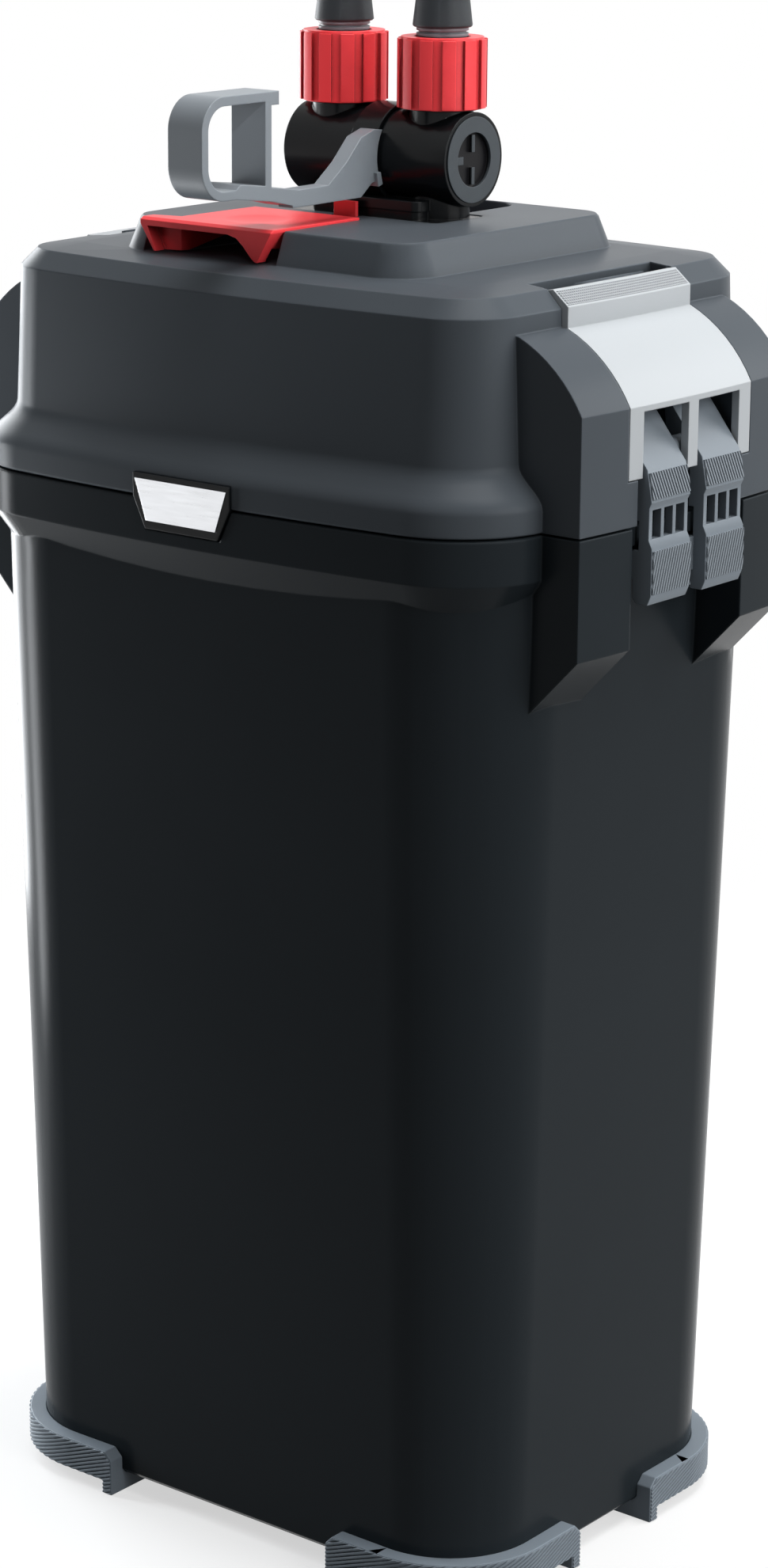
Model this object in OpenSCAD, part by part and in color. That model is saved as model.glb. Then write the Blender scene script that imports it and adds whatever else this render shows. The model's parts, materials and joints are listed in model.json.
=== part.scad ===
// Canister filter: canister with media baskets, lid with motor and end clamps, lift-out valve block.
// +Z is up, the origin is on the floor under the middle, -Y is the front and the clamps are at both X ends.

/* [Plan] */
// Distance of the lid's corner centres from the middle, along the length
plan_cx = 73.1; // [70:0.5:80]
// Distance of the lid's corner centres from the middle, across the depth
plan_cy = 50.6; // [48:0.5:56]
// Corner radius of the lid's wall at its top
lid_corner_r = 21.4; // [21:0.2:24]
// Bulge of the lid's front and back sides
bow_front = 3.3; // [2.5:0.1:4]
// Bulge of the lid's end sides
bow_end = 1.1; // [0.8:0.1:1.6]

/* [Canister] */
// How much nearer the middle the canister's corner centres are, along the length
can_in_x = 6.5; // [5:0.5:8]
// How much nearer the middle the canister's corner centres are, across the depth
can_in_y = 9.5; // [8:0.5:11]
// Outer corner radius of the canister at its rim
can_corner_r = 37.5; // [36:0.5:38]
// How much the canister's wall draws in towards its base
can_draft = 6.7; // [4:0.2:8]
// Thickness of the canister's wall and base
can_wall = 3; // [2:0.2:3.4]
// Height of the canister's underside above the floor
base_z = 5.9; // [5:0.1:8]
// Height of the line where lid and canister meet
parting_z = 340.8; // [335:0.5:350]
// Height of the canister's flange band
flange_h = 13.8; // [12:0.2:16]
// Height of the chamfer under the flange
flange_chamfer = 11.2; // [9:0.2:13]
// How far the flange stands out from the lid's wall
flange_out = 10.8; // [9.6:0.2:12]
// Gap between the lid's rim and the canister's rim
parting_gap = 0.6; // [0.4:0.1:0.8]

/* [Lid] */
// Height of the lid's straight band above the parting line
band_h = 6.6; // [5:0.2:8]
// Height of the concave flare above the band
flare_h = 12.6; // [10:0.2:15]
// Height of the lid's wall, from the flare to the top chamfer
lid_wall_h = 42.4; // [38:0.2:50]
// How far the lid's wall spreads from its top to the flare
lid_draft = 1.9; // [1:0.1:2.6]
// Size of the chamfer round the lid's top
lid_chamfer = 5.3; // [4:0.1:6]
// Rise of the lid's top inside the chamfer
crown_h = 1.4; // [0.8:0.1:2]
// Thickness of the lid's wall and top
lid_wall = 3; // [2.4:0.1:3.2]
// Radial clearance of everything that seats in the canister's mouth
mouth_clear = 0.4; // [0.3:0.05:0.6]
// Depth that the lid's plug reaches into the canister
plug_depth = 19; // [16:0.5:22]

/* [Platform] */
// Half length of the raised platform's top
platform_hx = 54.5; // [53:0.5:56]
// Offset of the platform from the middle, along the length
platform_x = -1.5; // [-2:0.5:-1]
// Half depth of the raised platform's top
platform_hy = 51; // [49:0.5:54]
// Corner radius of the platform's top
platform_r = 10; // [8:0.5:12]
// Height of the platform above the lid's top
platform_h = 10; // [8:0.5:11]
// How far the platform's side slopes out to its foot
platform_slope = 4.6; // [3:0.2:6]

/* [Clamps] */
// Half width of a boss, across the depth
boss_hy = 53; // [50:0.5:54]
// Distance of the boss's outer face from the middle
boss_x = 121; // [120:0.5:123]
// Drop of the boss's outer face from its middle to its edges
boss_bow = 2.4; // [1.5:0.1:3]
// Half width of the clamp cover
cover_hy = 31.3; // [30:0.1:33]
// Thickness of the clamp cover
cover_t = 2.6; // [2.2:0.1:3]
// Seam round the clamp cover
cover_seam = 0.35; // [0.3:0.05:0.5]
// Half width of the bar between the cover's windows
mullion_hy = 2.5; // [2:0.1:3]
// Height of the cover's lower edge above the parting line
cover_low = 14.2; // [12:0.2:16]
// Height of the windows above the cover's lower edge
window_h = 19.6; // [17:0.2:21]
// Half distance between the two fingers of a clamp
finger_in = 4.2; // [3.8:0.1:4.8]
// Width of one clamp finger
finger_w = 19.8; // [18:0.1:20]
// How far the fingers stand out past the boss's face
finger_out = 2.4; // [1.6:0.1:3]
// Thickness of a clamp finger
finger_t = 6.2; // [5.5:0.1:7]
// Length of the fingers below the parting line
finger_low = 23.6; // [20:0.2:26]
// Border round the slots in a clamp finger
finger_rim = 1.7; // [1.4:0.1:2]
// Width of each slot
finger_slot_w = 4.4; // [3.8:0.1:4.8]
// Height of each slot
finger_slot_h = 8.6; // [7.6:0.2:9]
// Depth of the notch behind the fingers that clears the canister's ledge
finger_notch = 1.8; // [1.4:0.1:2.2]
// Height of the notch
finger_notch_h = 8.8; // [8.4:0.1:9.4]
// Radius of the clamp's hinge pin
clamp_pin_r = 1.6; // [1.4:0.05:1.8]
// Radial clearance of the hinge pins and other running fits
run_clear = 0.05; // [0.03:0.01:0.08]
// Height of the ledge that the clamp's hook catches
ledge_h = 6; // [5:0.2:7]
// Gap between the ledge and the hook below it
hook_gap = 1.5; // [1.3:0.1:1.8]
// Half gap between the canister's two cheeks
cheek_in = 29; // [28:0.2:30]
// Height of the cheeks below the parting line, at the outer face
cheek_h = 36.4; // [32:0.4:40]
// Drop of the cheeks' slanted underside to the wall
cheek_slant = 18.4; // [14:0.5:20]

/* [Feet] */
// Thickness of the foot's skirt outside the canister
foot_t = 5.6; // [4:0.2:6.5]
// Height of the foot's skirt top above the floor
foot_top = 15; // [13:0.5:18]
// Height of the foot's skirt bottom above the floor, between its two end legs
foot_gap = 4.4; // [4:0.2:5]
// Distance of the foot's end from the middle, on the front and back
foot_end_x = 45.7; // [42:0.5:54]
// Distance of the foot's end from the middle, on the ends
foot_end_y = 19.5; // [16:0.5:26]
// Width of the foot's end legs
foot_leg = 4; // [3:0.2:6]

/* [Valve] */
// Depth position of the valve's barrel axis
valve_y = 8.6; // [7:0.1:10]
// Height of the valve's barrel axis above the platform
valve_up = 18.2; // [17.5:0.1:20]
// Radius of the valve's barrels
barrel_r = 14.4; // [14:0.1:14.8]
// Half length of the two barrels together
barrel_hx = 31.7; // [31.5:0.1:34]
// Half width of the lever's collar between the barrels
collar_hx = 5; // [4.6:0.1:5.2]
// Radius of the lever's collar
collar_r = 15.6; // [15.4:0.1:16]
// Radius of the journal that the collar turns on
journal_r = 12.4; // [12:0.1:12.8]
// Distance of each port from the middle
port_x = 19.3; // [19.3:0.1:20]
// Outer radius of the port tubes that plug into the lid
port_r = 8.5; // [8:0.1:9]
// Length of the port tubes below the valve's base
port_len = 22; // [18:0.5:24]
// Water bore of the ports
port_bore_r = 5.6; // [5:0.1:6]
// Half length of the valve's base, which stands in a pocket of the platform
base_hx = 29; // [28.5:0.1:31]
// Half length of the saddle between the valve's base and its barrels
saddle_hx = 21.8; // [20:0.2:24]
// Depth of the pocket
pocket_d = 5; // [4:0.2:6]

/* [Lever] */
// Half width of the flow lever
lever_hx = 6.6; // [6:0.1:7]
// Reach of the flow lever, from its axis to the front of its loop
lever_reach = 96.8; // [92:0.2:100]
// Depth of the lever's loop, front to back
loop_d = 31.2; // [28:0.2:34]
// Height of the lever's loop
loop_h = 30.4; // [28:0.2:33]
// Thickness of the lever's loop
loop_t = 2.8; // [2.4:0.1:3.4]
// Outer corner radius of the loop
loop_r = 10; // [8:0.5:12]

/* [Nuts and hoses] */
// Radius over the ribs of the lock nuts
nut_r = 13.8; // [13.4:0.1:14]
// Height of the lock nuts
nut_h = 21.6; // [20:0.2:24]
// Number of ribs on a lock nut
nut_ribs = 12; // [8:1:14]
// Width of the recesses between the ribs
nut_groove = 3; // [2:0.1:3.4]
// Outer radius of the ringed hose stems
stem_r = 8; // [7.6:0.1:8.2]
// Radius of the rubber cuff at its lower end
cuff_r = 9.2; // [8.8:0.1:9.6]
// Height of the rubber cuff
cuff_h = 27; // [20:1:34]
// Radius of the stem's end, which the cuff grips
grip_r = 6.5; // [6.3:0.1:6.8]
// Length of the stem's end in the cuff
grip_l = 12; // [10:0.5:16]
// Radius of the hose socket in the cuff
hose_r = 6.2; // [5.6:0.1:6.2]

/* [Eject lever] */
// Width of the eject lever at its front
eject_w = 52.2; // [50:0.2:54]
// Distance of the lever's right side from the middle
eject_right = 6.2; // [4:0.1:7]
// Reach of the eject lever, from its pin to its front
eject_reach = 39; // [36:0.5:42]
// Thickness of the eject lever's plate
eject_t = 2.6; // [2.2:0.1:3]
// Radius of the eject lever's pin
eject_pin_r = 1.25; // [1.1:0.05:1.5]

/* [Inside] */
// Number of media baskets
baskets = 4; // [4:1:4]
// Height of a media basket
basket_h = 71; // [66:0.5:72]
// Wall of a media basket
basket_wall = 1.8; // [1.4:0.1:2.4]
// Length of the baskets along the canister
basket_l = 138; // [130:0.5:139]
// Depth of the baskets across the canister
basket_w = 122; // [112:0.5:124]
// Clearance between the baskets and the canister's end
basket_fit = 6.4; // [5:0.2:8]
// Gap between the baskets and the foam frame
foam_gap = 3; // [2:0.5:5]
// Clearance between the foam frame and the canister's other end
foam_fit = 14.4; // [12:0.2:18]
// Margin of the foam frame inside the depth of the baskets
foam_inset = 13; // [10:0.5:16]
// Rim of the foam frame round its pads
foam_rim = 3; // [2.4:0.2:4]
// Radius of the motor housing
motor_r = 26; // [24:0.5:26.5]
// Gap between the motor and the end of the lid's hollow
motor_gap = 0.6; // [0.3:0.1:1.5]
// Radius of the impeller's magnet
magnet_r = 9; // [8:0.2:10]
// Solid top of the motor housing above the rotor's well
motor_crown = 18; // [16:0.5:20]
// Radius of the cable's hole in its gland
cable_r = 3.3; // [2.8:0.1:3.6]
// Radius of the ceramic shaft
shaft_r = 1.5; // [1.2:0.1:2]

/* [Hidden] */
$fn = 72;
// Overshoot of cuts past a face
OVER = 1;
// Step that keeps two joined faces from lying in one plane
STEP = 0.1;
// Reach of cuts that pass the whole canister
FAR = 150;

// Plans with straight sides: corner centre X and Y, corner radius
CAN = [plan_cx - can_in_x, plan_cy - can_in_y, can_corner_r];
PLATFORM = [platform_hx - platform_r, platform_hy - platform_r, platform_r];

// Heights
can_top = parting_z - parting_gap / 2;
flange_z = parting_z - flange_h;
wall_z = flange_z - flange_chamfer;
floor_z = base_z + can_wall;
lid_low = parting_z + parting_gap / 2;
band_z = lid_low + band_h;
flare_z = band_z + flare_h;
lid_wall_z = flare_z + lid_wall_h;
rim_z = lid_wall_z + lid_chamfer;
lid_top = rim_z + crown_h;
ceiling_z = lid_top - lid_wall - crown_h;
platform_z = lid_top + platform_h;
pocket_z = platform_z - pocket_d;
valve_z = platform_z + valve_up;
flare_steps = 8;

// Boss, clamp cover and clamp at the +X end, as X and Z
end_x = plan_cx + lid_corner_r + bow_end;
boss_r = (boss_hy * boss_hy + boss_bow * boss_bow) / (2 * boss_bow);
shoulder = [end_x + cover_t, lid_wall_z - 5.5];
brow = [boss_x, lid_low + 35.2];
slope_r = 47;
slope_steps = 8;
cover_low_z = parting_z + cover_low;
window_top = cover_low_z + window_h;
boss_root = end_x - 8;
strip_back = [end_x - lid_chamfer + 2.3, rim_z];
strip_front = [end_x + cover_t, lid_wall_z + 0.7];
finger_x = boss_x + finger_out;
finger_out_y = finger_in + finger_w;
clamp_pocket_hy = finger_out_y + 3;
clamp_pocket_x = end_x + 3;
clamp_pin = [boss_x - 6.4, cover_low_z + 5.5];
clamp_barrel_r = 3.2;
clamp_pin_grip = 4;
slot_z = rim_z - 4.6;
slot_low = slot_z - 3;
slot_root = strip_back[0] - 12;
ledge_x = boss_x - 3;
ledge_z = can_top - ledge_h;
hook_tip = [clamp_pin[0] - 2.2, ledge_z - hook_gap];

// Valve, nuts and hoses
collar_gap = 0.35;
neck_r = 11.2;
nut_z = valve_z + barrel_r + 0.6;
neck_top = nut_z + nut_h * 0.64;
nut_lip = 3;
nut_turn = 1.6;
stem_flange_t = 2.4;
cuff_z = nut_z + nut_h + 2.8;
spool_r = 9.6;
barrel_wall_end = 3;
port_z = pocket_z - port_len;
socket_wall = 3.2;
tongue_hx = 3.2;
lever_swing = 40;
spool_bore_r = 3.6;
base_front = -6.2;
base_back = 17.8;

// Eject lever
eject_front = -(platform_hy + 6);
eject_top = platform_z + 0.7;
eject_lip_z = eject_top - eject_t;
eject_low = lid_top + 0.6;
eject_pin_y = eject_front + eject_reach;
eject_pin_z = eject_top - 4.6;
eject_left = eject_right - eject_w;
eject_neck = eject_left + 10.4;
eject_lug_r = 3;
eject_gap = 0.5;
eject_tab_x = -8.6;
eject_tab_w = 8.8;
eject_tab_t = 1.2;
eject_tab_y = base_front - 2;
eject_tab_top = platform_z + 4.6;
eject_web_z = eject_lip_z - 1.1;

// Media and motor
inside_hx = CAN[0] + CAN[2] - can_draft - can_wall;
basket_x = inside_hx - basket_fit - basket_l / 2;
basket_corner = 20;
basket_gap = 0.4;
basket_lid_t = 3;
basket_slit = 6;
basket_slit_pitch = 12;
basket_margin = 14;
foam_x = basket_x - basket_l / 2 - foam_gap;
foam_t = foam_x + inside_hx - foam_fit;
foam_hy = basket_w / 2 - foam_inset;
foam_h = baskets * basket_h;
motor_x = boss_root - motor_gap - motor_r;
motor_top = ceiling_z;
motor_low = lid_low + 11;
rotor_well_r = magnet_r + 1.2;
stator_in = rotor_well_r + 2;
stator_out = motor_r - 2;
motor_floor = 6;
bushing_h = 3;
impeller_r = 13;
chamber_r = 15;
chamber_h = 13;

// Points of the arc of radius r from p to q, which bulges away from the origin
function arc_centre(p, q, r) =
    let (d = q - p, l = norm(d)) (p + q) / 2 + sqrt(r * r - l * l / 4) * [d[1], -d[0]] / l;
function arc(p, q, r, steps, inset = 0) =
    let (c = arc_centre(p, q, r), a = atan2(p[1] - c[1], p[0] - c[0]), b = atan2(q[1] - c[1], q[0] - c[0]))
    [for (i = [0 : steps]) let (t = a + (b - a) * i / steps) c + (r - inset) * [cos(t), sin(t)]];
function flare(t) = lid_draft + (flange_out - lid_draft) * (1 + cos(180 * t)) / 2;
function can_x_at(z) = CAN[0] + CAN[2] - can_draft * (wall_z - z) / (wall_z - base_z);

// Ring that follows a plan with straight sides: points are [offset from the plan, height]
module sweep(plan, offsets) {
    pts = [for (p = offsets) [plan[2] + p[0], p[1]]];
    for (m = [0, 1], n = [0, 1])
        mirror([m, 0, 0])
            mirror([0, n, 0])
                translate([plan[0], plan[1], 0])
                    rotate_extrude(angle = 90)
                        polygon(pts);
    for (a = [0, 90, 180, 270]) {
        across_side = a % 180 > 0;
        rotate([0, 0, a])
            rotate([90, 0, 0])
                linear_extrude(2 * plan[across_side ? 0 : 1], center = true)
                    polygon([for (p = pts) [plan[across_side ? 1 : 0] + p[0], p[1]]]);
    }
}

// The same, filled to the middle between heights low and high
module slab(plan, offsets, low, high) {
    sweep(plan, offsets);
    translate([-plan[0], -plan[1], low])
        cube([2 * plan[0], 2 * plan[1], high - low]);
}

// Plan of the lid at an offset: quarter from the +X axis to the +Y axis, then the whole ring
end_steps = 2;
corner_steps = 12;
front_steps = 4;
function lean(half, bow) = atan2(2 * half * bow, half * half - bow * bow);
function bulge_point(half, dist, bow, t, d) =
    let (k = (half * half - bow * bow) / (2 * bow), r = k + bow + lid_corner_r + d)
    [dist - k + r * cos(t), r * sin(t)];
function quarter(d) =
    let (end = lean(plan_cy, bow_end), front = lean(plan_cx, bow_front), turn = 90 - end - front)
    concat(
        [for (i = [0 : end_steps - 1]) bulge_point(plan_cy, plan_cx, bow_end, end * i / end_steps, d)],
        [
            for (i = [0 : corner_steps]) let (t = end + turn * i / corner_steps)
            [plan_cx + (lid_corner_r + d) * cos(t), plan_cy + (lid_corner_r + d) * sin(t)]
        ],
        [
            for (i = [front_steps - 1 : -1 : 0])
            let (p = bulge_point(plan_cx, plan_cy, bow_front, front * i / front_steps, d)) [p[1], p[0]]
        ]
    );
function lid_ring(d) =
    let (q = quarter(d), n = len(q) - 1)
    concat(
        q,
        [for (i = [n - 1 : -1 : 0]) [-q[i][0], q[i][1]]],
        [for (i = [1 : n]) [-q[i][0], -q[i][1]]],
        [for (i = [n - 1 : -1 : 1]) [q[i][0], -q[i][1]]]
    );

// Solid in the lid's plan: points are [offset from the plan, height], from the lowest to the highest
module lid_body(offsets) {
    n = 4 * (end_steps + corner_steps + front_steps);
    last = len(offsets) - 1;
    polyhedron(
        points = [for (p = offsets) for (q = lid_ring(p[0])) [q[0], q[1], p[1]]],
        faces = concat(
            [[for (i = [0 : n - 1]) i]],
            [[for (i = [n - 1 : -1 : 0]) last * n + i]],
            [
                for (k = [0 : last - 1], i = [0 : n - 1])
                let (j = (i + 1) % n) [k * n + i, (k + 1) * n + i, (k + 1) * n + j, k * n + j]
            ]
        ),
        convexity = 4
    );
}

// Upright prism with rounded corners, centred on x and y
module rounded_block(x, y, z, l, w, h, r) {
    translate([x, y, z])
        linear_extrude(h) {
            square([l - 2 * r, w], center = true);
            square([l, w - 2 * r], center = true);
            for (sx = [-1, 1], sy = [-1, 1])
                translate([sx * (l / 2 - r), sy * (w / 2 - r)])
                    circle(r);
        }
}

// Profile in X and Z, carried across the depth on the boss's large radius between y0 and y1
module across(pts, y0, y1) {
    a = asin((boss_hy + 4) / (boss_r - 40));
    intersection() {
        translate([boss_x - boss_r, 0, 0])
            rotate([0, 0, -a])
                rotate_extrude(angle = 2 * a, $fn = 256)
                    polygon([for (p = pts) [p[0] - boss_x + boss_r, p[1]]]);
        translate([0, y0, 0])
            cube([boss_x + 50, y1 - y0, lid_top + 50]);
    }
}

// Rod along X, Y or Z
module rod_x(x0, x1, y, z, r) {
    translate([x0, y, z])
        rotate([0, 90, 0])
            cylinder(h = x1 - x0, r = r);
}
module rod_y(x, y0, y1, z, r) {
    translate([x, y0, z])
        rotate([-90, 0, 0])
            cylinder(h = y1 - y0, r = r);
}
module rod_z(x, y, z0, z1, r) {
    translate([x, y, z0])
        cylinder(h = z1 - z0, r = r);
}

// ---- Canister ----

module canister_cavity() {
    mouth_z = can_top - plug_depth - 4;
    offsets = [
        [-can_corner_r, floor_z], [-can_draft - can_wall, floor_z],
        [-can_wall, mouth_z], [-can_wall, can_top + OVER], [-can_corner_r, can_top + OVER]
    ];
    slab(CAN, offsets, floor_z, can_top + OVER);
}

module canister_cheeks() {
    low = parting_z - cheek_h;
    top = can_top - STEP;
    inner = can_x_at(low) - can_wall;
    cheek = [
        [inner, low - cheek_slant], [can_x_at(low - cheek_slant), low - cheek_slant],
        [boss_x, low], [boss_x, top], [inner, top]
    ];
    ledge = [[inner, ledge_z], [ledge_x, ledge_z], [ledge_x, top], [inner, top]];
    across(cheek, cheek_in, boss_hy);
    across(cheek, -boss_hy, -cheek_in);
    across(ledge, -cheek_in - OVER, cheek_in + OVER);
}

module canister_case() {
    edge = 2;
    body = [
        [-can_corner_r, base_z], [-can_draft - edge, base_z], [-can_draft, base_z + edge],
        [0, wall_z], [0, can_top], [-can_corner_r, can_top]
    ];
    flange = [
        [flange_out - flange_chamfer * 0.7, wall_z], [flange_out, flange_z],
        [flange_out, can_top - 0.5], [flange_out - 0.5, can_top]
    ];
    color("#1d2226")
        difference() {
            union() {
                slab(CAN, body, base_z, can_top);
                lid_body(flange);
                for (m = [0, 1])
                    mirror([m, 0, 0])
                        canister_cheeks();
            }
            canister_cavity();
            badge_notch(0.35);
        }
}

module foot(sx, sy) {
    rim = -can_draft;
    chamfer = 2.8;
    body = [[rim - 22, 0], [rim + foot_t, 0], [rim + foot_t, foot_top], [rim - 22, foot_top]];
    canister = [
        [-can_corner_r, base_z], [rim - 2, base_z], [rim, base_z + 2], [0, wall_z], [-can_corner_r, wall_z]
    ];
    color("#7d868e")
        mirror([sx < 0 ? 1 : 0, 0, 0])
            mirror([0, sy < 0 ? 1 : 0, 0])
                difference() {
                    intersection() {
                        sweep(CAN, body);
                        foot_limit(foot_end_x, chamfer);
                        mirror([-1, 1, 0])
                            foot_limit(foot_end_y, chamfer);
                    }
                    slab(CAN, canister, base_z, wall_z);
                    translate([foot_end_x + foot_leg, foot_end_y + foot_leg, -OVER])
                        cube([FAR, FAR, foot_gap + OVER]);
                }
}
module foot_limit(end, chamfer) {
    translate([0, FAR, 0])
        rotate([90, 0, 0])
            linear_extrude(FAR)
                polygon([
                    [end, 0], [FAR, 0], [FAR, foot_top], [end + chamfer, foot_top], [end, foot_top - chamfer]
                ]);
}
module foot_front_left() { foot(-1, -1); }
module foot_front_right() { foot(1, -1); }
module foot_back_left() { foot(-1, 1); }
module foot_back_right() { foot(1, 1); }

// ---- Media ----

module media_basket(i) {
    z = floor_z + i * basket_h;
    color("#3b4248")
        difference() {
            rounded_block(basket_x, 0, z, basket_l, basket_w, basket_h, basket_corner);
            rounded_block(
                basket_x, 0, z + basket_wall,
                basket_l - 2 * basket_wall, basket_w - 2 * basket_wall, basket_h, basket_corner - basket_wall
            );
            basket_slits(z, basket_wall);
        }
}
module basket_slits(z, wall) {
    slit_l = basket_w - 2 * basket_margin;
    for (k = [-4 : 4])
        translate([basket_x + k * basket_slit_pitch - basket_slit / 2, -slit_l / 2, z - OVER])
            cube([basket_slit, slit_l, wall + 2 * OVER]);
}
module media_basket_1() { media_basket(0); }
module media_basket_2() { media_basket(1); }
module media_basket_3() { media_basket(2); }
module media_basket_4() { media_basket(3); }

module media_block(i) {
    gap = basket_wall + basket_gap;
    color(i < 3 ? "#b9a88c" : "#e8ebe6")
        rounded_block(
            basket_x, 0, floor_z + i * basket_h + basket_wall,
            basket_l - 2 * gap, basket_w - 2 * gap, basket_h - basket_wall - 6, basket_corner - gap
        );
}
module media_block_1() { media_block(0); }
module media_block_2() { media_block(1); }
module media_block_3() { media_block(2); }
module media_block_4() { media_block(3); }

module basket_cover() {
    z = floor_z + baskets * basket_h;
    color("#3b4248")
        difference() {
            rounded_block(basket_x, 0, z, basket_l, basket_w, basket_lid_t, basket_corner);
            basket_slits(z, basket_lid_t);
        }
}

module foam_frame() {
    windows = 6;
    bar = 6;
    edge = foam_rim + 5;
    pitch = (foam_h - 2 * edge + bar) / windows;
    color("#2d3338")
        difference() {
            translate([foam_x - foam_t, -foam_hy, floor_z])
                cube([foam_t, 2 * foam_hy, foam_h]);
            translate([foam_x - foam_t + 2.5, foam_rim - foam_hy, floor_z + foam_rim])
                cube([foam_t - 5, 2 * (foam_hy - foam_rim), foam_h - 2 * foam_rim]);
            for (k = [0 : windows - 1])
                translate([foam_x - foam_t - OVER, edge - foam_hy, floor_z + edge + k * pitch])
                    cube([foam_t + 2 * OVER, 2 * (foam_hy - edge), pitch - bar]);
        }
}
module foam_pad(x0) {
    color("#20262b")
        translate([x0, foam_rim - foam_hy, floor_z + foam_rim])
            cube([foam_t / 2 - 2.7, 2 * (foam_hy - foam_rim), foam_h - 2 * foam_rim]);
}
module foam_pad_inner() { foam_pad(foam_x - foam_t / 2 + 0.2); }
module foam_pad_outer() { foam_pad(foam_x - foam_t + 2.5); }

// ---- Lid ----

function slope_points(inset = 0) = arc(shoulder, brow, slope_r, slope_steps, inset);
function cover_outer() =
    concat([strip_back, strip_front], slope_points(), [[boss_x, cover_low_z]]);
function cover_inner() =
    concat(
        [[boss_x - cover_t, cover_low_z], [boss_x - cover_t, brow[1] - 1]],
        [for (i = [slope_steps - 1 : -1 : 1]) slope_points(cover_t)[i]],
        [[end_x + 0.3, shoulder[1] - 0.6], [end_x + 0.3, lid_wall_z - 0.4], strip_back - [3.2, 0.6]]
    );

module slot_floor() {
    translate([slot_root, -cover_hy - 2, slot_low])
        cube([11, 2 * cover_hy + 4, ceiling_z - slot_z + 4]);
}
module boss() {
    profile = concat(
        [[boss_root, lid_low + STEP], [boss_x, lid_low + STEP]],
        [for (i = [slope_steps : -1 : 0]) slope_points()[i]],
        [[boss_root, shoulder[1] + 1.5]]
    );
    across(profile, -boss_hy, boss_hy);
}

module boss_cuts() {
    seat_y = cover_hy + cover_seam;
    far = 12;
    seat = concat(
        cover_inner(),
        [strip_back + [-3.2, far], [boss_x + far, rim_z + far], [boss_x + far, cover_low_z - cover_seam],
        [boss_x - cover_t, cover_low_z - cover_seam]]
    );
    across(seat, -seat_y, seat_y);
    translate([clamp_pocket_x, -clamp_pocket_hy, lid_low - OVER])
        cube([boss_x + 10 - clamp_pocket_x, 2 * clamp_pocket_hy, window_top + 1.5 - lid_low + OVER]);
    rod_y(
        clamp_pin[0], -clamp_pocket_hy - clamp_pin_grip, clamp_pocket_hy + clamp_pin_grip, clamp_pin[1],
        clamp_pin_r
    );
    translate([strip_back[0] - 10.3, -cover_hy, slot_z])
        cube([6.8, 2 * cover_hy, 20]);
}

module clamp_cover() {
    color("#d4d7da")
        difference() {
            across(concat(cover_outer(), cover_inner()), -cover_hy, cover_hy);
            for (s = [-1, 1])
                translate([boss_x - 12, s > 0 ? mullion_hy : -finger_out_y - 0.8, cover_low_z - OVER])
                    cube([30, finger_out_y + 0.8 - mullion_hy, window_h + OVER]);
        }
}
module clamp_cover_right() { clamp_cover(); }
module clamp_cover_left() { mirror([1, 0, 0]) clamp_cover(); }

module clamp_pin_part() {
    color("#9aa0a5")
        rod_y(
            clamp_pin[0], -clamp_pocket_hy - clamp_pin_grip, clamp_pocket_hy + clamp_pin_grip, clamp_pin[1],
            clamp_pin_r
        );
}
module clamp_pin_right() { clamp_pin_part(); }
module clamp_pin_left() { mirror([1, 0, 0]) clamp_pin_part(); }

module platform_block() {
    low = ceiling_z;
    translate([platform_x, 0, 0])
        slab(
            PLATFORM,
            [
                [-platform_r, low], [platform_slope, low], [platform_slope, rim_z + 0.6],
                [0.6, platform_z - 0.8], [-0.2, platform_z], [-platform_r, platform_z]
            ],
            low, platform_z
        );
}

// Plan of the eject lever, grown by gap
function eject_plan(gap, front = eject_front) = [
    [eject_left - gap, front], [eject_left - gap, eject_front + 6 + gap],
    [eject_neck - 1 - gap, eject_front + 8.5 + gap], [eject_neck - gap, eject_pin_y + eject_lug_r + gap],
    [eject_right + gap, eject_pin_y + eject_lug_r + gap], [eject_right + gap, front]
];

module socket_cuts() {
    for (s = [-1, 1]) {
        rod_z(s * port_x, valve_y, port_z - OVER - 1, pocket_z + OVER, port_r + run_clear);
        rod_z(s * port_x, valve_y, port_z - 8, pocket_z, port_bore_r);
    }
}

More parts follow.
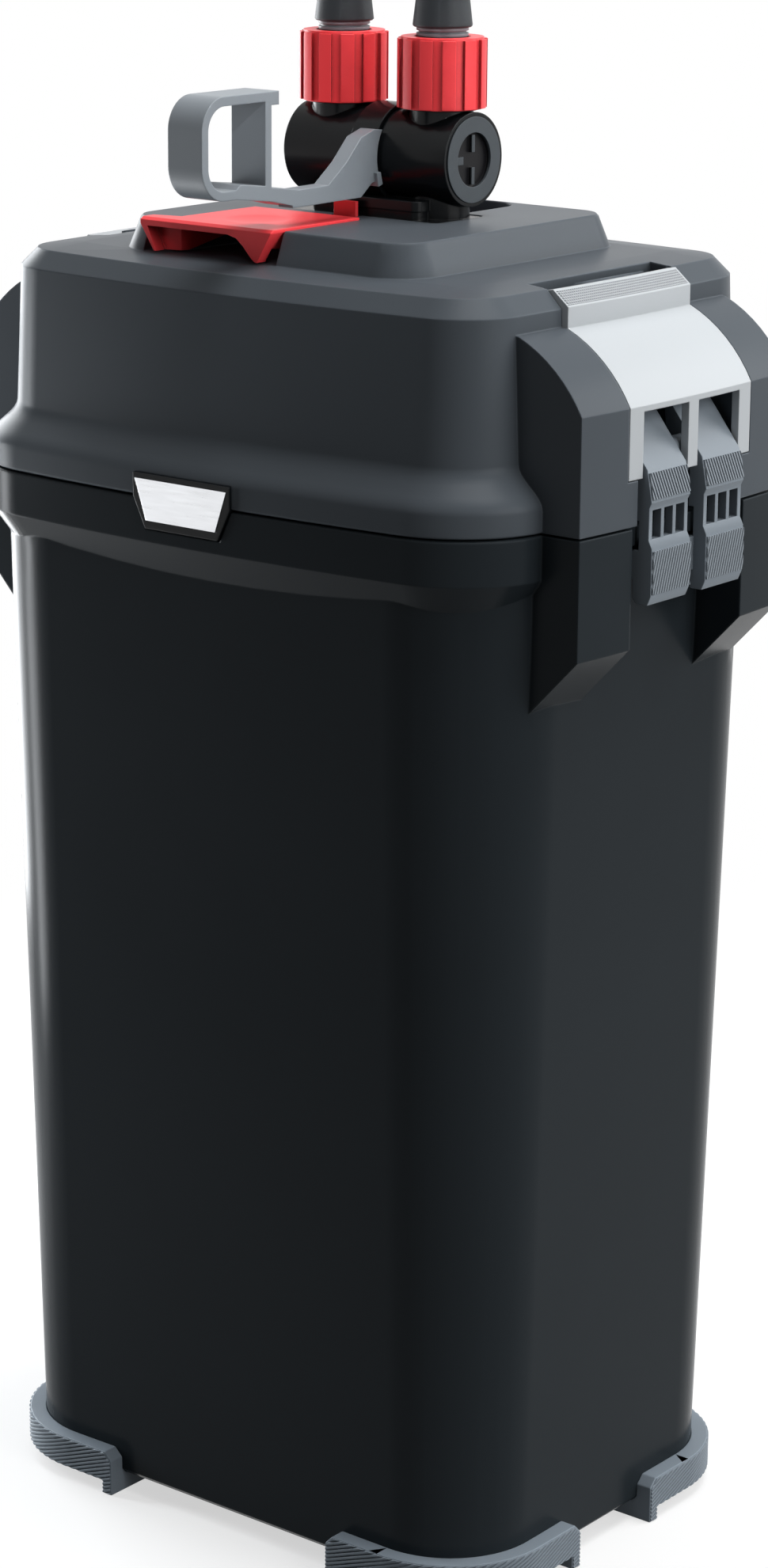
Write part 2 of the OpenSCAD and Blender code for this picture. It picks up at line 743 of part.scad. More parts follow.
module lid_cover() {
    inner = lid_draft - lid_wall;
    skin = concat(
        [[flange_out - 0.5, lid_low], [flange_out, lid_low + 0.5]],
        [for (i = [0 : flare_steps]) [flare(i / flare_steps), band_z + flare_h * i / flare_steps]],
        [[0, lid_wall_z], [-lid_chamfer, rim_z], [-lid_corner_r + 2, lid_top]]
    );
    cavity = [
        [inner, lid_low - OVER], [inner, flare_z], [-lid_wall, lid_wall_z - 1],
        [-lid_chamfer - 2.2, ceiling_z]
    ];
    plug_out = -can_wall - mouth_clear;
    plug = [
        [plug_out - 3.5, lid_low - plug_depth], [plug_out, lid_low - plug_depth],
        [plug_out, lid_low - 13], [plug_out - 1.6, lid_low - 13], [plug_out - 1.6, lid_low - 8],
        [plug_out, lid_low - 8], [plug_out, lid_low + STEP], [0.4, lid_low + STEP],
        [0.4, lid_low + lid_wall],
        [plug_out - 3.5, lid_low + lid_wall]
    ];
    color("#4a5158")
        difference() {
            union() {
                difference() {
                    lid_body(skin);
                    lid_body(cavity);
                }
                sweep(CAN, plug);
                platform_block();
                for (s = [-1, 1])
                    rod_z(s * port_x, valve_y, port_z - 6, ceiling_z + OVER, port_r + socket_wall);
                for (m = [0, 1])
                    mirror([m, 0, 0]) {
                        boss();
                        slot_floor();
                    }
            }
            for (m = [0, 1])
                mirror([m, 0, 0])
                    boss_cuts();
            base(base_hx, pocket_z, pocket_d + OVER, -0.5);
            rounded_block(-1.8, 30, pocket_z, 44.6, 39, pocket_d + OVER, 9);
            translate([0, 0, lid_top])
                linear_extrude(platform_h + OVER)
                    polygon(eject_plan(eject_gap, eject_front - 12));
            translate([eject_tab_x - eject_gap, eject_pin_y, lid_top])
                cube([eject_tab_w + 2 * eject_gap, base_front - eject_pin_y, platform_h + OVER]);
            rod_x(eject_neck - 4, eject_right + 4, eject_pin_y, eject_pin_z, eject_pin_r);
            socket_cuts();
            badge_notch(0);
            rod_y(gland_x, gland_wall_y - 12, gland_wall_y + 12, gland_z, gland_r + run_clear);
        }
}

module lid_seal() {
    out = -can_wall - mouth_clear;
    color("#111315")
        sweep(
            CAN,
            [
                [out - 1.6, lid_low - 13], [out + 0.1, lid_low - 12.4],
                [out + 0.1, lid_low - 8.6], [out - 1.6, lid_low - 8]
            ]
        );
}

// ---- Badge ----

badge_x = -4;
badge_face = plan_cy + lid_corner_r + bow_front + flange_out + 0.7;
badge_top = band_z + 0.4;
badge_bend = parting_z + 0.2;
badge_low = parting_z - 9.6;
badge_hx = 19.2;
badge_low_hx = 14.4;
badge_depth = 5;

function badge_outline(grow) = [
    [badge_x - badge_hx - grow, badge_top + grow], [badge_x - badge_hx - grow, badge_bend],
    [badge_x - badge_low_hx - grow, badge_low - grow], [badge_x + badge_low_hx + grow, badge_low - grow],
    [badge_x + badge_hx + grow, badge_bend], [badge_x + badge_hx + grow, badge_top + grow]
];
module facing(y0, y1) {
    translate([0, y1, 0])
        rotate([90, 0, 0])
            linear_extrude(y1 - y0)
                children();
}
module badge_notch(gap) {
    facing(-badge_face - 5, -badge_face + badge_depth + gap)
        polygon(badge_outline(gap));
}
module badge_bezel() {
    color("#101214")
        difference() {
            facing(-badge_face, -badge_face + badge_depth)
                polygon(badge_outline(0));
            facing(-badge_face - OVER, -badge_face + 1)
                polygon(badge_plate_outline());
        }
}
function badge_plate_outline() = [
    [badge_x - badge_hx + 1, badge_top - 1.6], [badge_x - badge_low_hx + 0.6, badge_low + 2.6],
    [badge_x + badge_low_hx - 0.6, badge_low + 2.6], [badge_x + badge_hx - 1, badge_top - 1.6]
];
module badge_plate() {
    color("#d9dbdd")
        facing(-badge_face - 0.3, -badge_face + 1)
            polygon(badge_plate_outline());
}

// ---- Cable gland ----

gland_x = -38;
gland_z = lid_low + 30;
gland_r = 6;
gland_wall_y = plan_cy + lid_corner_r + bow_front + 0.5;
module cable_gland() {
    flange_y = gland_wall_y + 0.8;
    tip_y = gland_wall_y + 9;
    color("#15181a")
        difference() {
            union() {
                rod_y(gland_x, gland_wall_y - 6, tip_y, gland_z, gland_r);
                translate([gland_x, flange_y, gland_z])
                    rotate([-90, 0, 0])
                        cylinder(h = 4, r = 9, $fn = 6);
            }
            rod_y(gland_x, gland_wall_y - 8, tip_y + 2, gland_z, cable_r);
        }
}

// ---- Motor ----

module motor_housing() {
    color("#22272b")
        difference() {
            rod_z(-motor_x, 0, motor_low, motor_top, motor_r);
            rod_z(-motor_x, 0, motor_low - OVER, motor_top - motor_crown, rotor_well_r);
            difference() {
                rod_z(-motor_x, 0, motor_low + 4, motor_top - motor_floor, stator_out);
                rod_z(-motor_x, 0, motor_low + 3, motor_top - motor_floor + 1, stator_in);
            }
            translate([-slot_root - motor_r, -motor_r, slot_low - 0.3])
                cube([motor_r + 0.3, 2 * motor_r, motor_floor]);
            for (i = [0 : 3])
                motor_screw_hole(i);
        }
}
function screw_at(i) = [-motor_x + 20.5 * cos(45 + 90 * i), 20.5 * sin(45 + 90 * i)];
module motor_screw_hole(i) {
    rod_z(screw_at(i)[0], screw_at(i)[1], motor_low - OVER, motor_low + 4, 1.2);
}
module motor_screw(i) {
    p = screw_at(i);
    color("#8d9398") {
        rod_z(p[0], p[1], motor_low - 2.5, motor_low + 3.8, 1.2);
        rod_z(p[0], p[1], motor_low - 4.3, motor_low - 2.5, 2.2);
    }
}
module motor_screw_1() { motor_screw(0); }
module motor_screw_2() { motor_screw(1); }
module motor_screw_3() { motor_screw(2); }
module motor_screw_4() { motor_screw(3); }

module stator() {
    color("#a8683a")
        difference() {
            rod_z(-motor_x, 0, motor_low + 4, motor_top - motor_floor, stator_out);
            rod_z(-motor_x, 0, motor_low + 3, motor_top - motor_floor + 1, stator_in);
        }
}
module impeller_cover() {
    low = motor_low - 2.5 - chamber_h;
    color("#2d3338")
        difference() {
            union() {
                rod_z(-motor_x, 0, motor_low - 2.5, motor_low, motor_r - 1);
                rod_z(-motor_x, 0, low, motor_low - 2.4, chamber_r + 2);
            }
            rod_z(-motor_x, 0, low + 3, motor_low + OVER, chamber_r);
            rod_z(-motor_x, 0, low + 1, low + 4, shaft_r + 2);
            for (i = [0 : 2])
                rotate_about(-motor_x, 120 * i)
                    rod_z(8.5, 0, low - OVER, low + 4, 3.6);
            for (i = [0 : 3])
                rod_z(screw_at(i)[0], screw_at(i)[1], motor_low - 4, motor_low + OVER, 1.2);
        }
}
module rotate_about(x, a) {
    translate([x, 0, 0])
        rotate([0, 0, a])
            children();
}
module bushing(z0, z1) {
    color("#16181a")
        difference() {
            rod_z(-motor_x, 0, z0, z1, shaft_r + 2);
            rod_z(-motor_x, 0, z0 - OVER, z1 + OVER, shaft_r);
        }
}
module bushing_upper() { bushing(motor_top - motor_crown - bushing_h, motor_top - motor_crown); }
module bushing_lower() { bushing(motor_low - 1.5 - chamber_h, motor_low + 0.5 - chamber_h); }
module impeller_shaft() {
    color("#e6e4dc")
        rod_z(-motor_x, 0, motor_low - 1.5 - chamber_h, motor_top - motor_crown, shaft_r);
}
module impeller() {
    low = motor_low - chamber_h + 1.5;
    color("#5c6a73")
        difference() {
            union() {
                rod_z(-motor_x, 0, motor_low - 1, motor_top - motor_crown - bushing_h - 1, magnet_r);
                rod_z(-motor_x, 0, low, motor_low - 0.5, 4);
                for (i = [0 : 5])
                    rotate_about(-motor_x, 60 * i)
                        translate([0, -0.8, low])
                            cube([impeller_r, 1.6, chamber_h - 4]);
            }
            rod_z(-motor_x, 0, low - OVER, motor_top, shaft_r + run_clear);
        }
}

// ---- Valve ----

module base(hx, z, h, inset) {
    y = (base_front + base_back) / 2;
    rounded_block(0, y, z, 2 * (hx - inset), base_back - base_front - 2 * inset, h, 2.5);
}
module valve_block() {
    hub = collar_hx + collar_gap;
    color("#0e1012")
        difference() {
            union() {
                for (s = [-1, 1]) {
                    rod_x(s > 0 ? hub : -barrel_hx, s > 0 ? barrel_hx : -hub, valve_y, valve_z, barrel_r);
                    rod_z(s * port_x, valve_y, valve_z, nut_z - 0.3, neck_r - 1.4);
                    rod_z(s * port_x, valve_y, nut_z - 0.4, neck_top, neck_r);
                    rod_z(s * port_x, valve_y, pocket_z, valve_z, port_r + 0.5);
                    rod_z(s * port_x, valve_y, port_z, pocket_z + OVER, port_r);
                }
                rod_x(-hub - OVER, hub + OVER, valve_y, valve_z, journal_r);
                base(base_hx, pocket_z, pocket_d - 0.2, 0);
                difference() {
                    union() {
                        base(saddle_hx, pocket_z, pocket_d + 2.6, 0.6);
                        base(saddle_hx, pocket_z + pocket_d + 2.6, 3.2, 0);
                    }
                    rod_x(-hub, hub, valve_y, valve_z, collar_r + collar_gap);
                }
            }
            for (s = [-1, 1]) {
                rod_z(s * port_x, valve_y, port_z - OVER, neck_top + OVER, port_bore_r);
                difference() {
                    rod_z(s * port_x, valve_y, port_z + 6, port_z + 9, port_r + OVER);
                    rod_z(s * port_x, valve_y, port_z + 5, port_z + 10, port_r - 1.5);
                }
            }
            rod_x(-barrel_hx - OVER, barrel_hx + OVER, valve_y, valve_z, spool_r + run_clear);
            translate([0, valve_y, valve_z])
                rotate([0, 90, 0])
                    rotate([0, 0, 270 - lever_swing - 17])
                        rotate_extrude(angle = lever_swing + 34)
                            translate([spool_r - 2, -tongue_hx - 0.5])
                                square([journal_r - spool_r + 4, 2 * tongue_hx + 1]);
        }
}

module end_cap(s) {
    rib = 1.4;
    face = barrel_hx + 0.4;
    color("#2a2f34")
        mirror([s < 0 ? 1 : 0, 0, 0])
            difference() {
                union() {
                    rod_x(barrel_hx - barrel_wall_end, barrel_hx, valve_y, valve_z, spool_r);
                    rod_x(barrel_hx, face, valve_y, valve_z, barrel_r - 1.3);
                }
                difference() {
                    rod_x(face - 1.6, face + OVER, valve_y, valve_z, 8.3);
                    for (t = [-1, 1])
                        translate([face - 3, valve_y - rib / 2, valve_z + t * 4.9 - 2.6])
                            cube([2.6, rib, 5.2]);
                    translate([face - 3, valve_y - 8.3, valve_z - 1.2])
                        cube([2.4, 3.6, 2.4]);
                }
            }
}
module end_cap_left() { end_cap(-1); }
module end_cap_right() { end_cap(1); }

module port_seal(s) {
    color("#1b1d1f")
        difference() {
            rod_z(s * port_x, valve_y, port_z + 6.2, port_z + 8.8, port_r - 0.1);
            rod_z(s * port_x, valve_y, port_z + 5, port_z + 10, port_r - 1.5);
        }
}
module port_seal_left() { port_seal(-1); }
module port_seal_right() { port_seal(1); }

module valve_spool() {
    low_hx = barrel_hx - barrel_wall_end - 0.2;
    color("#3a3f44")
        difference() {
            union() {
                rod_x(-low_hx, low_hx, valve_y, valve_z, spool_r);
                translate([-tongue_hx, valve_y - collar_r + 1.2, valve_z - 2.4])
                    cube([2 * tongue_hx, collar_r - 2, 4.8]);
            }
            for (s = [-1, 1])
                rod_z(s * port_x, valve_y, valve_z - 20, valve_z + 20, spool_bore_r);
        }
}

module lever_collar() {
    color("#0b0c0d")
        difference() {
            rod_x(-collar_hx, collar_hx, valve_y, valve_z, collar_r);
            rod_x(-collar_hx - OVER, collar_hx + OVER, valve_y, valve_z, journal_r + run_clear);
            translate([-tongue_hx, valve_y - collar_r + 1.2, valve_z - 2.4])
                cube([2 * tongue_hx, 8, 4.8]);
        }
}

// Flow lever in its own side view: [reach in front of the axis, height above the axis]
loop_low = -6.8;
arm_in = 1;
arm_start = lever_reach - loop_d - 12.8;
module lever_side(x0, x1) {
    translate([x0, valve_y, valve_z])
        rotate([90, 0, 90])
            linear_extrude(x1 - x0)
                mirror([1, 0])
                    children();
}
module loop_outline(grow) {
    back = lever_reach - loop_d - grow;
    front = lever_reach + grow;
    low = loop_low - grow;
    high = loop_low + loop_h + grow;
    r = loop_r + grow;
    translate([back, low])
        square([front - back - r, high - low]);
    translate([back, low + r])
        square([front - back, high - low - 2 * r]);
    for (z = [low + r, high - r])
        translate([front - r, z])
            circle(r);
}
module flow_lever() {
    loop_back = lever_reach - loop_d;
    grip_steps = 7;
    color("#868d93")
        difference() {
            union() {
                lever_side(-lever_hx, lever_hx)
                    difference() {
                        union() {
                            loop_outline(0);
                            translate([loop_back - 3.4, loop_low + loop_h - loop_t - 1.2])
                                square([8, loop_t + 1.2]);
                            polygon([
                                [loop_back + 16, loop_low], [loop_back + 14, loop_low + 4.2],
                                [arm_start, -6.4], [arm_start, -11.6], [loop_back, loop_low - 2]
                            ]);
                        }
                        difference() {
                            loop_outline(-loop_t);
                            polygon([
                                [loop_back, loop_low], [loop_back + 20, loop_low],
                                [loop_back + 14, loop_low + 4.2], [loop_back, loop_low + 2.6]
                            ]);
                        }
                    }
                lever_side(arm_in, lever_hx)
                    polygon([
                        [arm_start + 3, -11.6], [arm_start + 3, -6.4], [39, -6.3], [30.5, -0.2],
                        [23.4, 6.8], [16.8, 8.8], [10, 8], [10, -6], [18, -7.4], [23.4, -11.4]
                    ]);
                lever_side(arm_in, lever_hx + 1.3)
                    polygon([[16.4, -8.6], [17.2, -4.4], [15.4, -4.2], [14.4, -8]]);
            }
            rod_x(-20, 20, valve_y, valve_z, collar_r);
            for (i = [0 : grip_steps - 1])
                rod_x(
                    -lever_hx - OVER, lever_hx + OVER,
                    valve_y - loop_back - 7 - i * 1.7, valve_z + loop_low + 4.9 - 0.02 * i, 0.8
                );
        }
}

// ---- Nuts and hoses ----

module lock_nut(s) {
    pitch = 360 / nut_ribs;
    color("#d8232a")
        translate([s * port_x, valve_y, nut_z])
            difference() {
                union() {
                    cylinder(h = nut_h, r = nut_r - 1.1);
                    translate([0, 0, 0.3])
                        cylinder(h = nut_h - 0.9, r = nut_r);
                }
                for (i = [0 : nut_ribs - 1])
                    rotate([0, 0, i * pitch + s * nut_turn])
                        translate([nut_r - 1.1, -nut_groove / 2, -OVER])
                            cube([3, nut_groove, nut_h + 2 * OVER]);
                translate([0, 0, -OVER])
                    cylinder(h = nut_h - nut_lip + OVER, r = neck_r + run_clear);
                cylinder(h = nut_h + OVER, r = stem_r + 0.7);
            }
}
module lock_nut_left() { lock_nut(-1); }
module lock_nut_right() { lock_nut(1); }

module hose_stem(s) {
    top = cuff_z + grip_l;
    x = s * port_x;
    color("#8b9298")
        difference() {
            union() {
                rod_z(x, valve_y, neck_top, neck_top + stem_flange_t, neck_r - 0.4);
                rod_z(x, valve_y, neck_top, cuff_z, stem_r);
                rod_z(x, valve_y, neck_top, top, grip_r);
            }
            rod_z(x, valve_y, neck_top - OVER, top + OVER, grip_r - 1.8);
            for (k = [0, 1])
                difference() {
                    rod_z(x, valve_y, cuff_z - 1.7 - k * 1.7, cuff_z - 1 - k * 1.7, stem_r + OVER);
                    rod_z(x, valve_y, cuff_z - 4, cuff_z, stem_r - 0.7);
                }
        }
}
module hose_stem_left() { hose_stem(-1); }
module hose_stem_right() { hose_stem(1); }

module hose_cuff(s) {
    color("#202427")
        translate([s * port_x, valve_y, cuff_z])
            rotate_extrude()
                polygon([
                    [grip_r, 0], [cuff_r - 0.4, 0], [cuff_r, 0.5], [cuff_r - 1, 9],
                    [cuff_r - 1.5, cuff_h - 1], [cuff_r - 1.9, cuff_h],
                    [hose_r, cuff_h], [hose_r, grip_l], [grip_r, grip_l]
                ]);
}
module hose_cuff_left() { hose_cuff(-1); }
module hose_cuff_right() { hose_cuff(1); }

// ---- Eject lever ----

module eject_pin() {
    color("#9aa0a5")
        rod_x(eject_neck - 4, eject_right + 2, eject_pin_y, eject_pin_z, eject_pin_r);
}

// Front view of the eject lever's arch, and plan of the hollow behind it
function eject_arch() = [
    [eject_left + 6.6, eject_low - OVER], [eject_left + 2.8, eject_lip_z], [eject_right - 17, eject_lip_z],
    [eject_right - 13.8, eject_lip_z - 0.8], [eject_right - 11, eject_lip_z - 3],
    [eject_right - 8, eject_lip_z - 6.2], [eject_right - 5.2, eject_low - OVER]
];
function eject_hollow() = [
    [eject_left + 3, eject_front + 4], [eject_neck + 0.8, eject_front + 6.2],
    [eject_neck + 1.6, eject_front + 10], [eject_neck + 1.6, eject_pin_y - 8],
    [eject_right - 4.4, eject_pin_y - 8],
    [eject_right - 3, eject_front + 4]
];
module eject_lever() {
    tail_y = eject_pin_y + eject_lug_r;
    thumb_r = 11;
    thumb_depth = 0.8;
    thumb_x = (eject_neck + eject_right) / 2 - 0.6;
    ball_r = (thumb_r * thumb_r + thumb_depth * thumb_depth) / (2 * thumb_depth);
    color("#d8232a")
        difference() {
            union() {
                intersection() {
                    translate([eject_left - 10, 0, 0])
                        rotate([90, 0, 90])
                            linear_extrude(eject_w + 20)
                                polygon([
                                    [eject_front, eject_top - 0.8], [eject_front + 1.4, eject_top],
                                    [tail_y, eject_top], [tail_y, eject_lip_z],
                                    [eject_pin_y - 6, eject_lip_z],
                                    [eject_pin_y - 7, eject_low + 4], [eject_front + 9, eject_low],
                                    [eject_front, eject_low]
                                ]);
                    translate([0, 0, eject_low - OVER])
                        linear_extrude(20)
                            polygon(eject_plan(0));
                    facing(eject_front - 20, tail_y + 5)
                        polygon([
                            [eject_left, eject_top + 5], [eject_left, eject_top - 2],
                            [eject_left + 5.4, eject_low],
                            [eject_right - 5.4, eject_low], [eject_right, eject_top - 1],
                            [eject_right, eject_top + 5]
                        ]);
                }
                rod_x(eject_neck + 0.2, eject_right - 0.2, eject_pin_y, eject_pin_z, eject_lug_r);
                translate([eject_tab_x, eject_pin_y, eject_web_z])
                    cube([eject_tab_w, eject_tab_y - eject_pin_y, eject_t - 0.6]);
                translate([eject_tab_x, eject_tab_y - eject_tab_t, eject_web_z])
                    cube([eject_tab_w, eject_tab_t, eject_tab_top - eject_web_z]);
            }
            facing(eject_front - 20, eject_front + 5)
                polygon(eject_arch());
            translate([0, 0, eject_low - OVER])
                linear_extrude(eject_lip_z - eject_low + OVER)
                    polygon(eject_hollow());
            rod_x(eject_left, eject_right + 10, eject_pin_y, eject_pin_z, eject_pin_r + run_clear);
            translate([thumb_x, eject_front + 19.5, eject_top - thumb_depth + ball_r])
                sphere(ball_r, $fn = 180);
        }
}

// ---- Clamps ----

module clamp() {
    low = parting_z - finger_low;
    face = finger_x;
    back = finger_x - finger_t;
    finger = [
        [clamp_pin[0] - 4.5, window_top - 2.6], [face - 1.8, cover_low_z + 2.4], [face, parting_z + 7],
        [face - 0.8, parting_z + 5.4], [face - 0.8, parting_z - 4.2], [face + 0.4, parting_z - 6.6],
        [face + 0.4, low + 2.8], [face - 0.8, low], [back + 1.4, low], [back, low + 1.6],
        [back, cover_low_z - 2], [clamp_pin[0] - 2, clamp_pin[1] - 3.6],
        [clamp_pin[0] - 6, clamp_pin[1] + 2],
        [clamp_pin[0] - 7, window_top - 4]
    ];
    hook = [
        [back + 2, hook_tip[1] - 10], [back + 2, hook_tip[1]], hook_tip,
        [hook_tip[0], hook_tip[1] - 6]
    ];
    slots = 3;
    slot_pitch = (finger_w - 2 * finger_rim - finger_slot_w) / (slots - 1);
    slot_z = parting_z + finger_notch / 6;
    color("#8f969c")
        difference() {
            union() {
                for (s = [-1, 1])
                    facing(s > 0 ? finger_in : -finger_out_y, s > 0 ? finger_out_y : -finger_in)
                        polygon(finger);
                facing(-finger_out_y, finger_out_y)
                    polygon(hook);
                rod_y(clamp_pin[0], -finger_out_y, finger_out_y, clamp_pin[1], clamp_barrel_r);
            }
            for (s = [-1, 1], k = [0 : slots - 1])
                translate([
                    face - (finger_t + OVER) / 2,
                    s * (finger_in + finger_rim + k * slot_pitch + finger_slot_w / 2), slot_z
                ])
                    cube([finger_t + OVER, finger_slot_w, finger_slot_h], center = true);
            for (s = [-1, 1])
                translate([back - OVER, s * (finger_in + finger_w / 2), slot_z])
                    cube(
                        [
                            2 * finger_t - 3 * finger_rim, finger_w - 2 * finger_rim,
                            finger_slot_h + finger_notch
                        ],
                        center = true
                    );
            translate([back - OVER, -finger_out_y - OVER, parting_z + finger_notch_h / 7 - finger_notch_h])
                cube([finger_notch + OVER, 2 * (finger_out_y + OVER), finger_notch_h]);
            rod_y(
                clamp_pin[0], -finger_out_y - OVER, finger_out_y + OVER, clamp_pin[1], clamp_pin_r + run_clear
            );
        }
}
module clamp_right() { clamp(); }
module clamp_left() { mirror([1, 0, 0]) clamp(); }

canister_case();
foot_front_left();
foot_front_right();
foot_back_left();
foot_back_right();
media_basket_1();
media_basket_2();
media_basket_3();
media_basket_4();
basket_cover();
media_block_1();
media_block_2();
media_block_3();
media_block_4();
foam_frame();
foam_pad_inner();
foam_pad_outer();
lid_cover();
lid_seal();
badge_bezel();
badge_plate();
cable_gland();
clamp_cover_left();
clamp_cover_right();
clamp_pin_left();
clamp_pin_right();
motor_housing();
stator();
impeller_cover();
impeller_shaft();
bushing_upper();
bushing_lower();
motor_screw_1();
motor_screw_2();
motor_screw_3();
motor_screw_4();
eject_pin();
valve_block();
end_cap_left();
end_cap_right();
port_seal_left();
port_seal_right();
hose_stem_left();
hose_stem_right();
hose_cuff_left();
hose_cuff_right();
flow_lever();
lever_collar();
valve_spool();
lock_nut_left();
lock_nut_right();
eject_lever();
impeller();
clamp_left();
clamp_right();
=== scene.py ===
# %% [markdown]
# # A canister filter in moulded plastic
# The object is a tall water filter: a glossy charcoal canister on four corner feet, a satin lid with two
# end clamps, and a lift-out valve with a lever and two red lock nuts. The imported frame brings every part
# at its real size and in its real place. This lesson gives the parts their soft edges, their ribbed
# grips and their finishes, and it sets the light and the camera.

# %% Load the frame
import json
import math

import bmesh
import bpy
from mathutils import Matrix, Vector

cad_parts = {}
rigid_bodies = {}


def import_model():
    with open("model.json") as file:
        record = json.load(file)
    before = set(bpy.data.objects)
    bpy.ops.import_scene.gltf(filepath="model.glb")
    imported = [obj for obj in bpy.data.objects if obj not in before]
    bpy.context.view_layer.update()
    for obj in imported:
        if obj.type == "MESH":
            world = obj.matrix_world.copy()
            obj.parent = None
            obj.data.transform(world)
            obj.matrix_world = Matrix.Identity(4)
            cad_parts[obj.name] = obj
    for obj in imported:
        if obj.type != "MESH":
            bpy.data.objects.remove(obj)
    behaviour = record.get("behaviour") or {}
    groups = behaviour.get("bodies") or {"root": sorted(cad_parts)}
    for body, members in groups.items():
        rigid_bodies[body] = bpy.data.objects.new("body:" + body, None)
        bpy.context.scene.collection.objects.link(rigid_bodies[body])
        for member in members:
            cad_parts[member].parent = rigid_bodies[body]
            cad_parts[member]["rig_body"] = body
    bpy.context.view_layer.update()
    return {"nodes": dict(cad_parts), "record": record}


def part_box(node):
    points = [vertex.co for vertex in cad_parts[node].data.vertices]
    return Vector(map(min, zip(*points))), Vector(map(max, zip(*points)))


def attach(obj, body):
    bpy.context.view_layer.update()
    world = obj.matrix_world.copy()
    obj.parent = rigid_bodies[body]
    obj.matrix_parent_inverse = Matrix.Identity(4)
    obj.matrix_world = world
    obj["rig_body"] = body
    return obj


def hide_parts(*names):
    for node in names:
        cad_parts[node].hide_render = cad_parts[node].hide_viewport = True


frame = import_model()
scene = bpy.context.scene
MM = 0.001
slot_of = {row["node"]: row["material_slot"] for row in frame["record"]["subparts"]}

# %% [markdown]
# ## Camera
# The camera looks down on the front right corner from a little above the lid. A camera is placed most
# surely by two angles and a distance, because a location and a free rotation would drift apart. The
# lens is long, so upright edges stay nearly parallel, and a small roll and shift finish the framing.

# %% Camera
IMAGE_WIDTH, IMAGE_HEIGHT = 970, 1981
CAMERA_TURN, CAMERA_RISE, CAMERA_ROLL = (math.radians(a) for a in (38.722, 15.487, 0.369))
CAMERA_DISTANCE = 1.2507
CAMERA_AIM = Vector((0, 0, 0.2369))
SENSOR_WIDTH = 36.0
FOCAL_PIXELS = 4902.5
CENTRE_PIXEL = (468.1, 987.1)


def camera_axes(turn, rise, roll):
    back = Vector((math.sin(turn) * math.cos(rise), -math.cos(turn) * math.cos(rise), math.sin(rise)))
    right = Vector((math.cos(turn), math.sin(turn), 0))
    up = back.cross(right)
    tilted_right = right * math.cos(roll) + up * math.sin(roll)
    tilted_up = up * math.cos(roll) - right * math.sin(roll)
    return tilted_right, tilted_up, back


def make_camera():
    camera = bpy.data.objects.new("camera", bpy.data.cameras.new("camera"))
    scene.collection.objects.link(camera)
    right, up, back = camera_axes(CAMERA_TURN, CAMERA_RISE, CAMERA_ROLL)
    placed = Matrix((right, up, back)).transposed().to_4x4()
    placed.translation = CAMERA_AIM + back * CAMERA_DISTANCE
    camera.matrix_world = placed
    camera.data.sensor_width = SENSOR_WIDTH
    camera.data.lens = FOCAL_PIXELS / IMAGE_HEIGHT * SENSOR_WIDTH
    camera.data.shift_x = (IMAGE_WIDTH / 2 - CENTRE_PIXEL[0]) / IMAGE_HEIGHT
    camera.data.shift_y = (CENTRE_PIXEL[1] - IMAGE_HEIGHT / 2) / IMAGE_HEIGHT
    return camera


scene.camera = make_camera()
scene.view_settings.view_transform = "Standard"
print(f"camera with a {scene.camera.data.lens:.1f} mm lens")

# %% [markdown]
# ## Small helpers for node trees
# Every finish is a tree of nodes. Adding each node and link by hand makes long scripts, so one helper
# adds a node with its settings and links at once. Others do the sums, the noise and the change of range
# that return in every tree. The last three open a group of nodes, lead its results out and place the
# group in a tree.


# %% Node helpers
NOISE_MIDDLE = 0.5


def add(tree, kind, inputs=None, **settings):
    """Adds a node; each input is a socket to link or a value to set."""
    made = tree.nodes.new(kind)
    for key, value in settings.items():
        setattr(made, key, value)
    for key, value in (inputs or {}).items():
        if isinstance(value, bpy.types.NodeSocket):
            tree.links.new(value, made.inputs[key])
        else:
            made.inputs[key].default_value = value
    return made


def maths(tree, operation, *values):
    return add(tree, "ShaderNodeMath", dict(enumerate(values)), operation=operation).outputs[0]


def noise(tree, place, scale, detail):
    return add(tree, "ShaderNodeTexNoise", {"Vector": place, "Scale": scale, "Detail": detail}).outputs[0]


def swing(tree, value):
    """How far a noise lies above or below its middle."""
    return maths(tree, "SUBTRACT", value, NOISE_MIDDLE)


def scaled(tree, colour, factor):
    return add(tree, "ShaderNodeVectorMath", {0: colour, "Scale": factor}, operation="SCALE").outputs[0]


def remap(tree, value, old=(0.0, 1.0), new=(0.0, 1.0), **settings):
    """Takes a value from the old range to the new one, and holds it at the ends."""
    ends = {"From Min": old[0], "From Max": old[1], "To Min": new[0], "To Max": new[1]}
    return add(tree, "ShaderNodeMapRange", {"Value": value, **ends}, **settings).outputs[0]


def open_group(name, inputs, outputs):
    group = bpy.data.node_groups.new(name, "ShaderNodeTree")
    for label, kind, value in inputs:
        socket = group.interface.new_socket(label, in_out="INPUT", socket_type="NodeSocket" + kind)
        socket.default_value = value
    for label, kind in outputs:
        group.interface.new_socket(label, in_out="OUTPUT", socket_type="NodeSocket" + kind)
    return group, group.nodes.new("NodeGroupInput").outputs, group.nodes.new("NodeGroupOutput")


def put_out(group, result, **sockets):
    for label, socket in sockets.items():
        group.links.new(socket, result.inputs[label])
    print(f"{group.name}: {len(group.nodes)} nodes")


def use_group(tree, group, **inputs):
    given = {label.replace("_", " "): value for label, value in inputs.items()}
    return add(tree, "ShaderNodeGroup", given, node_tree=group).outputs


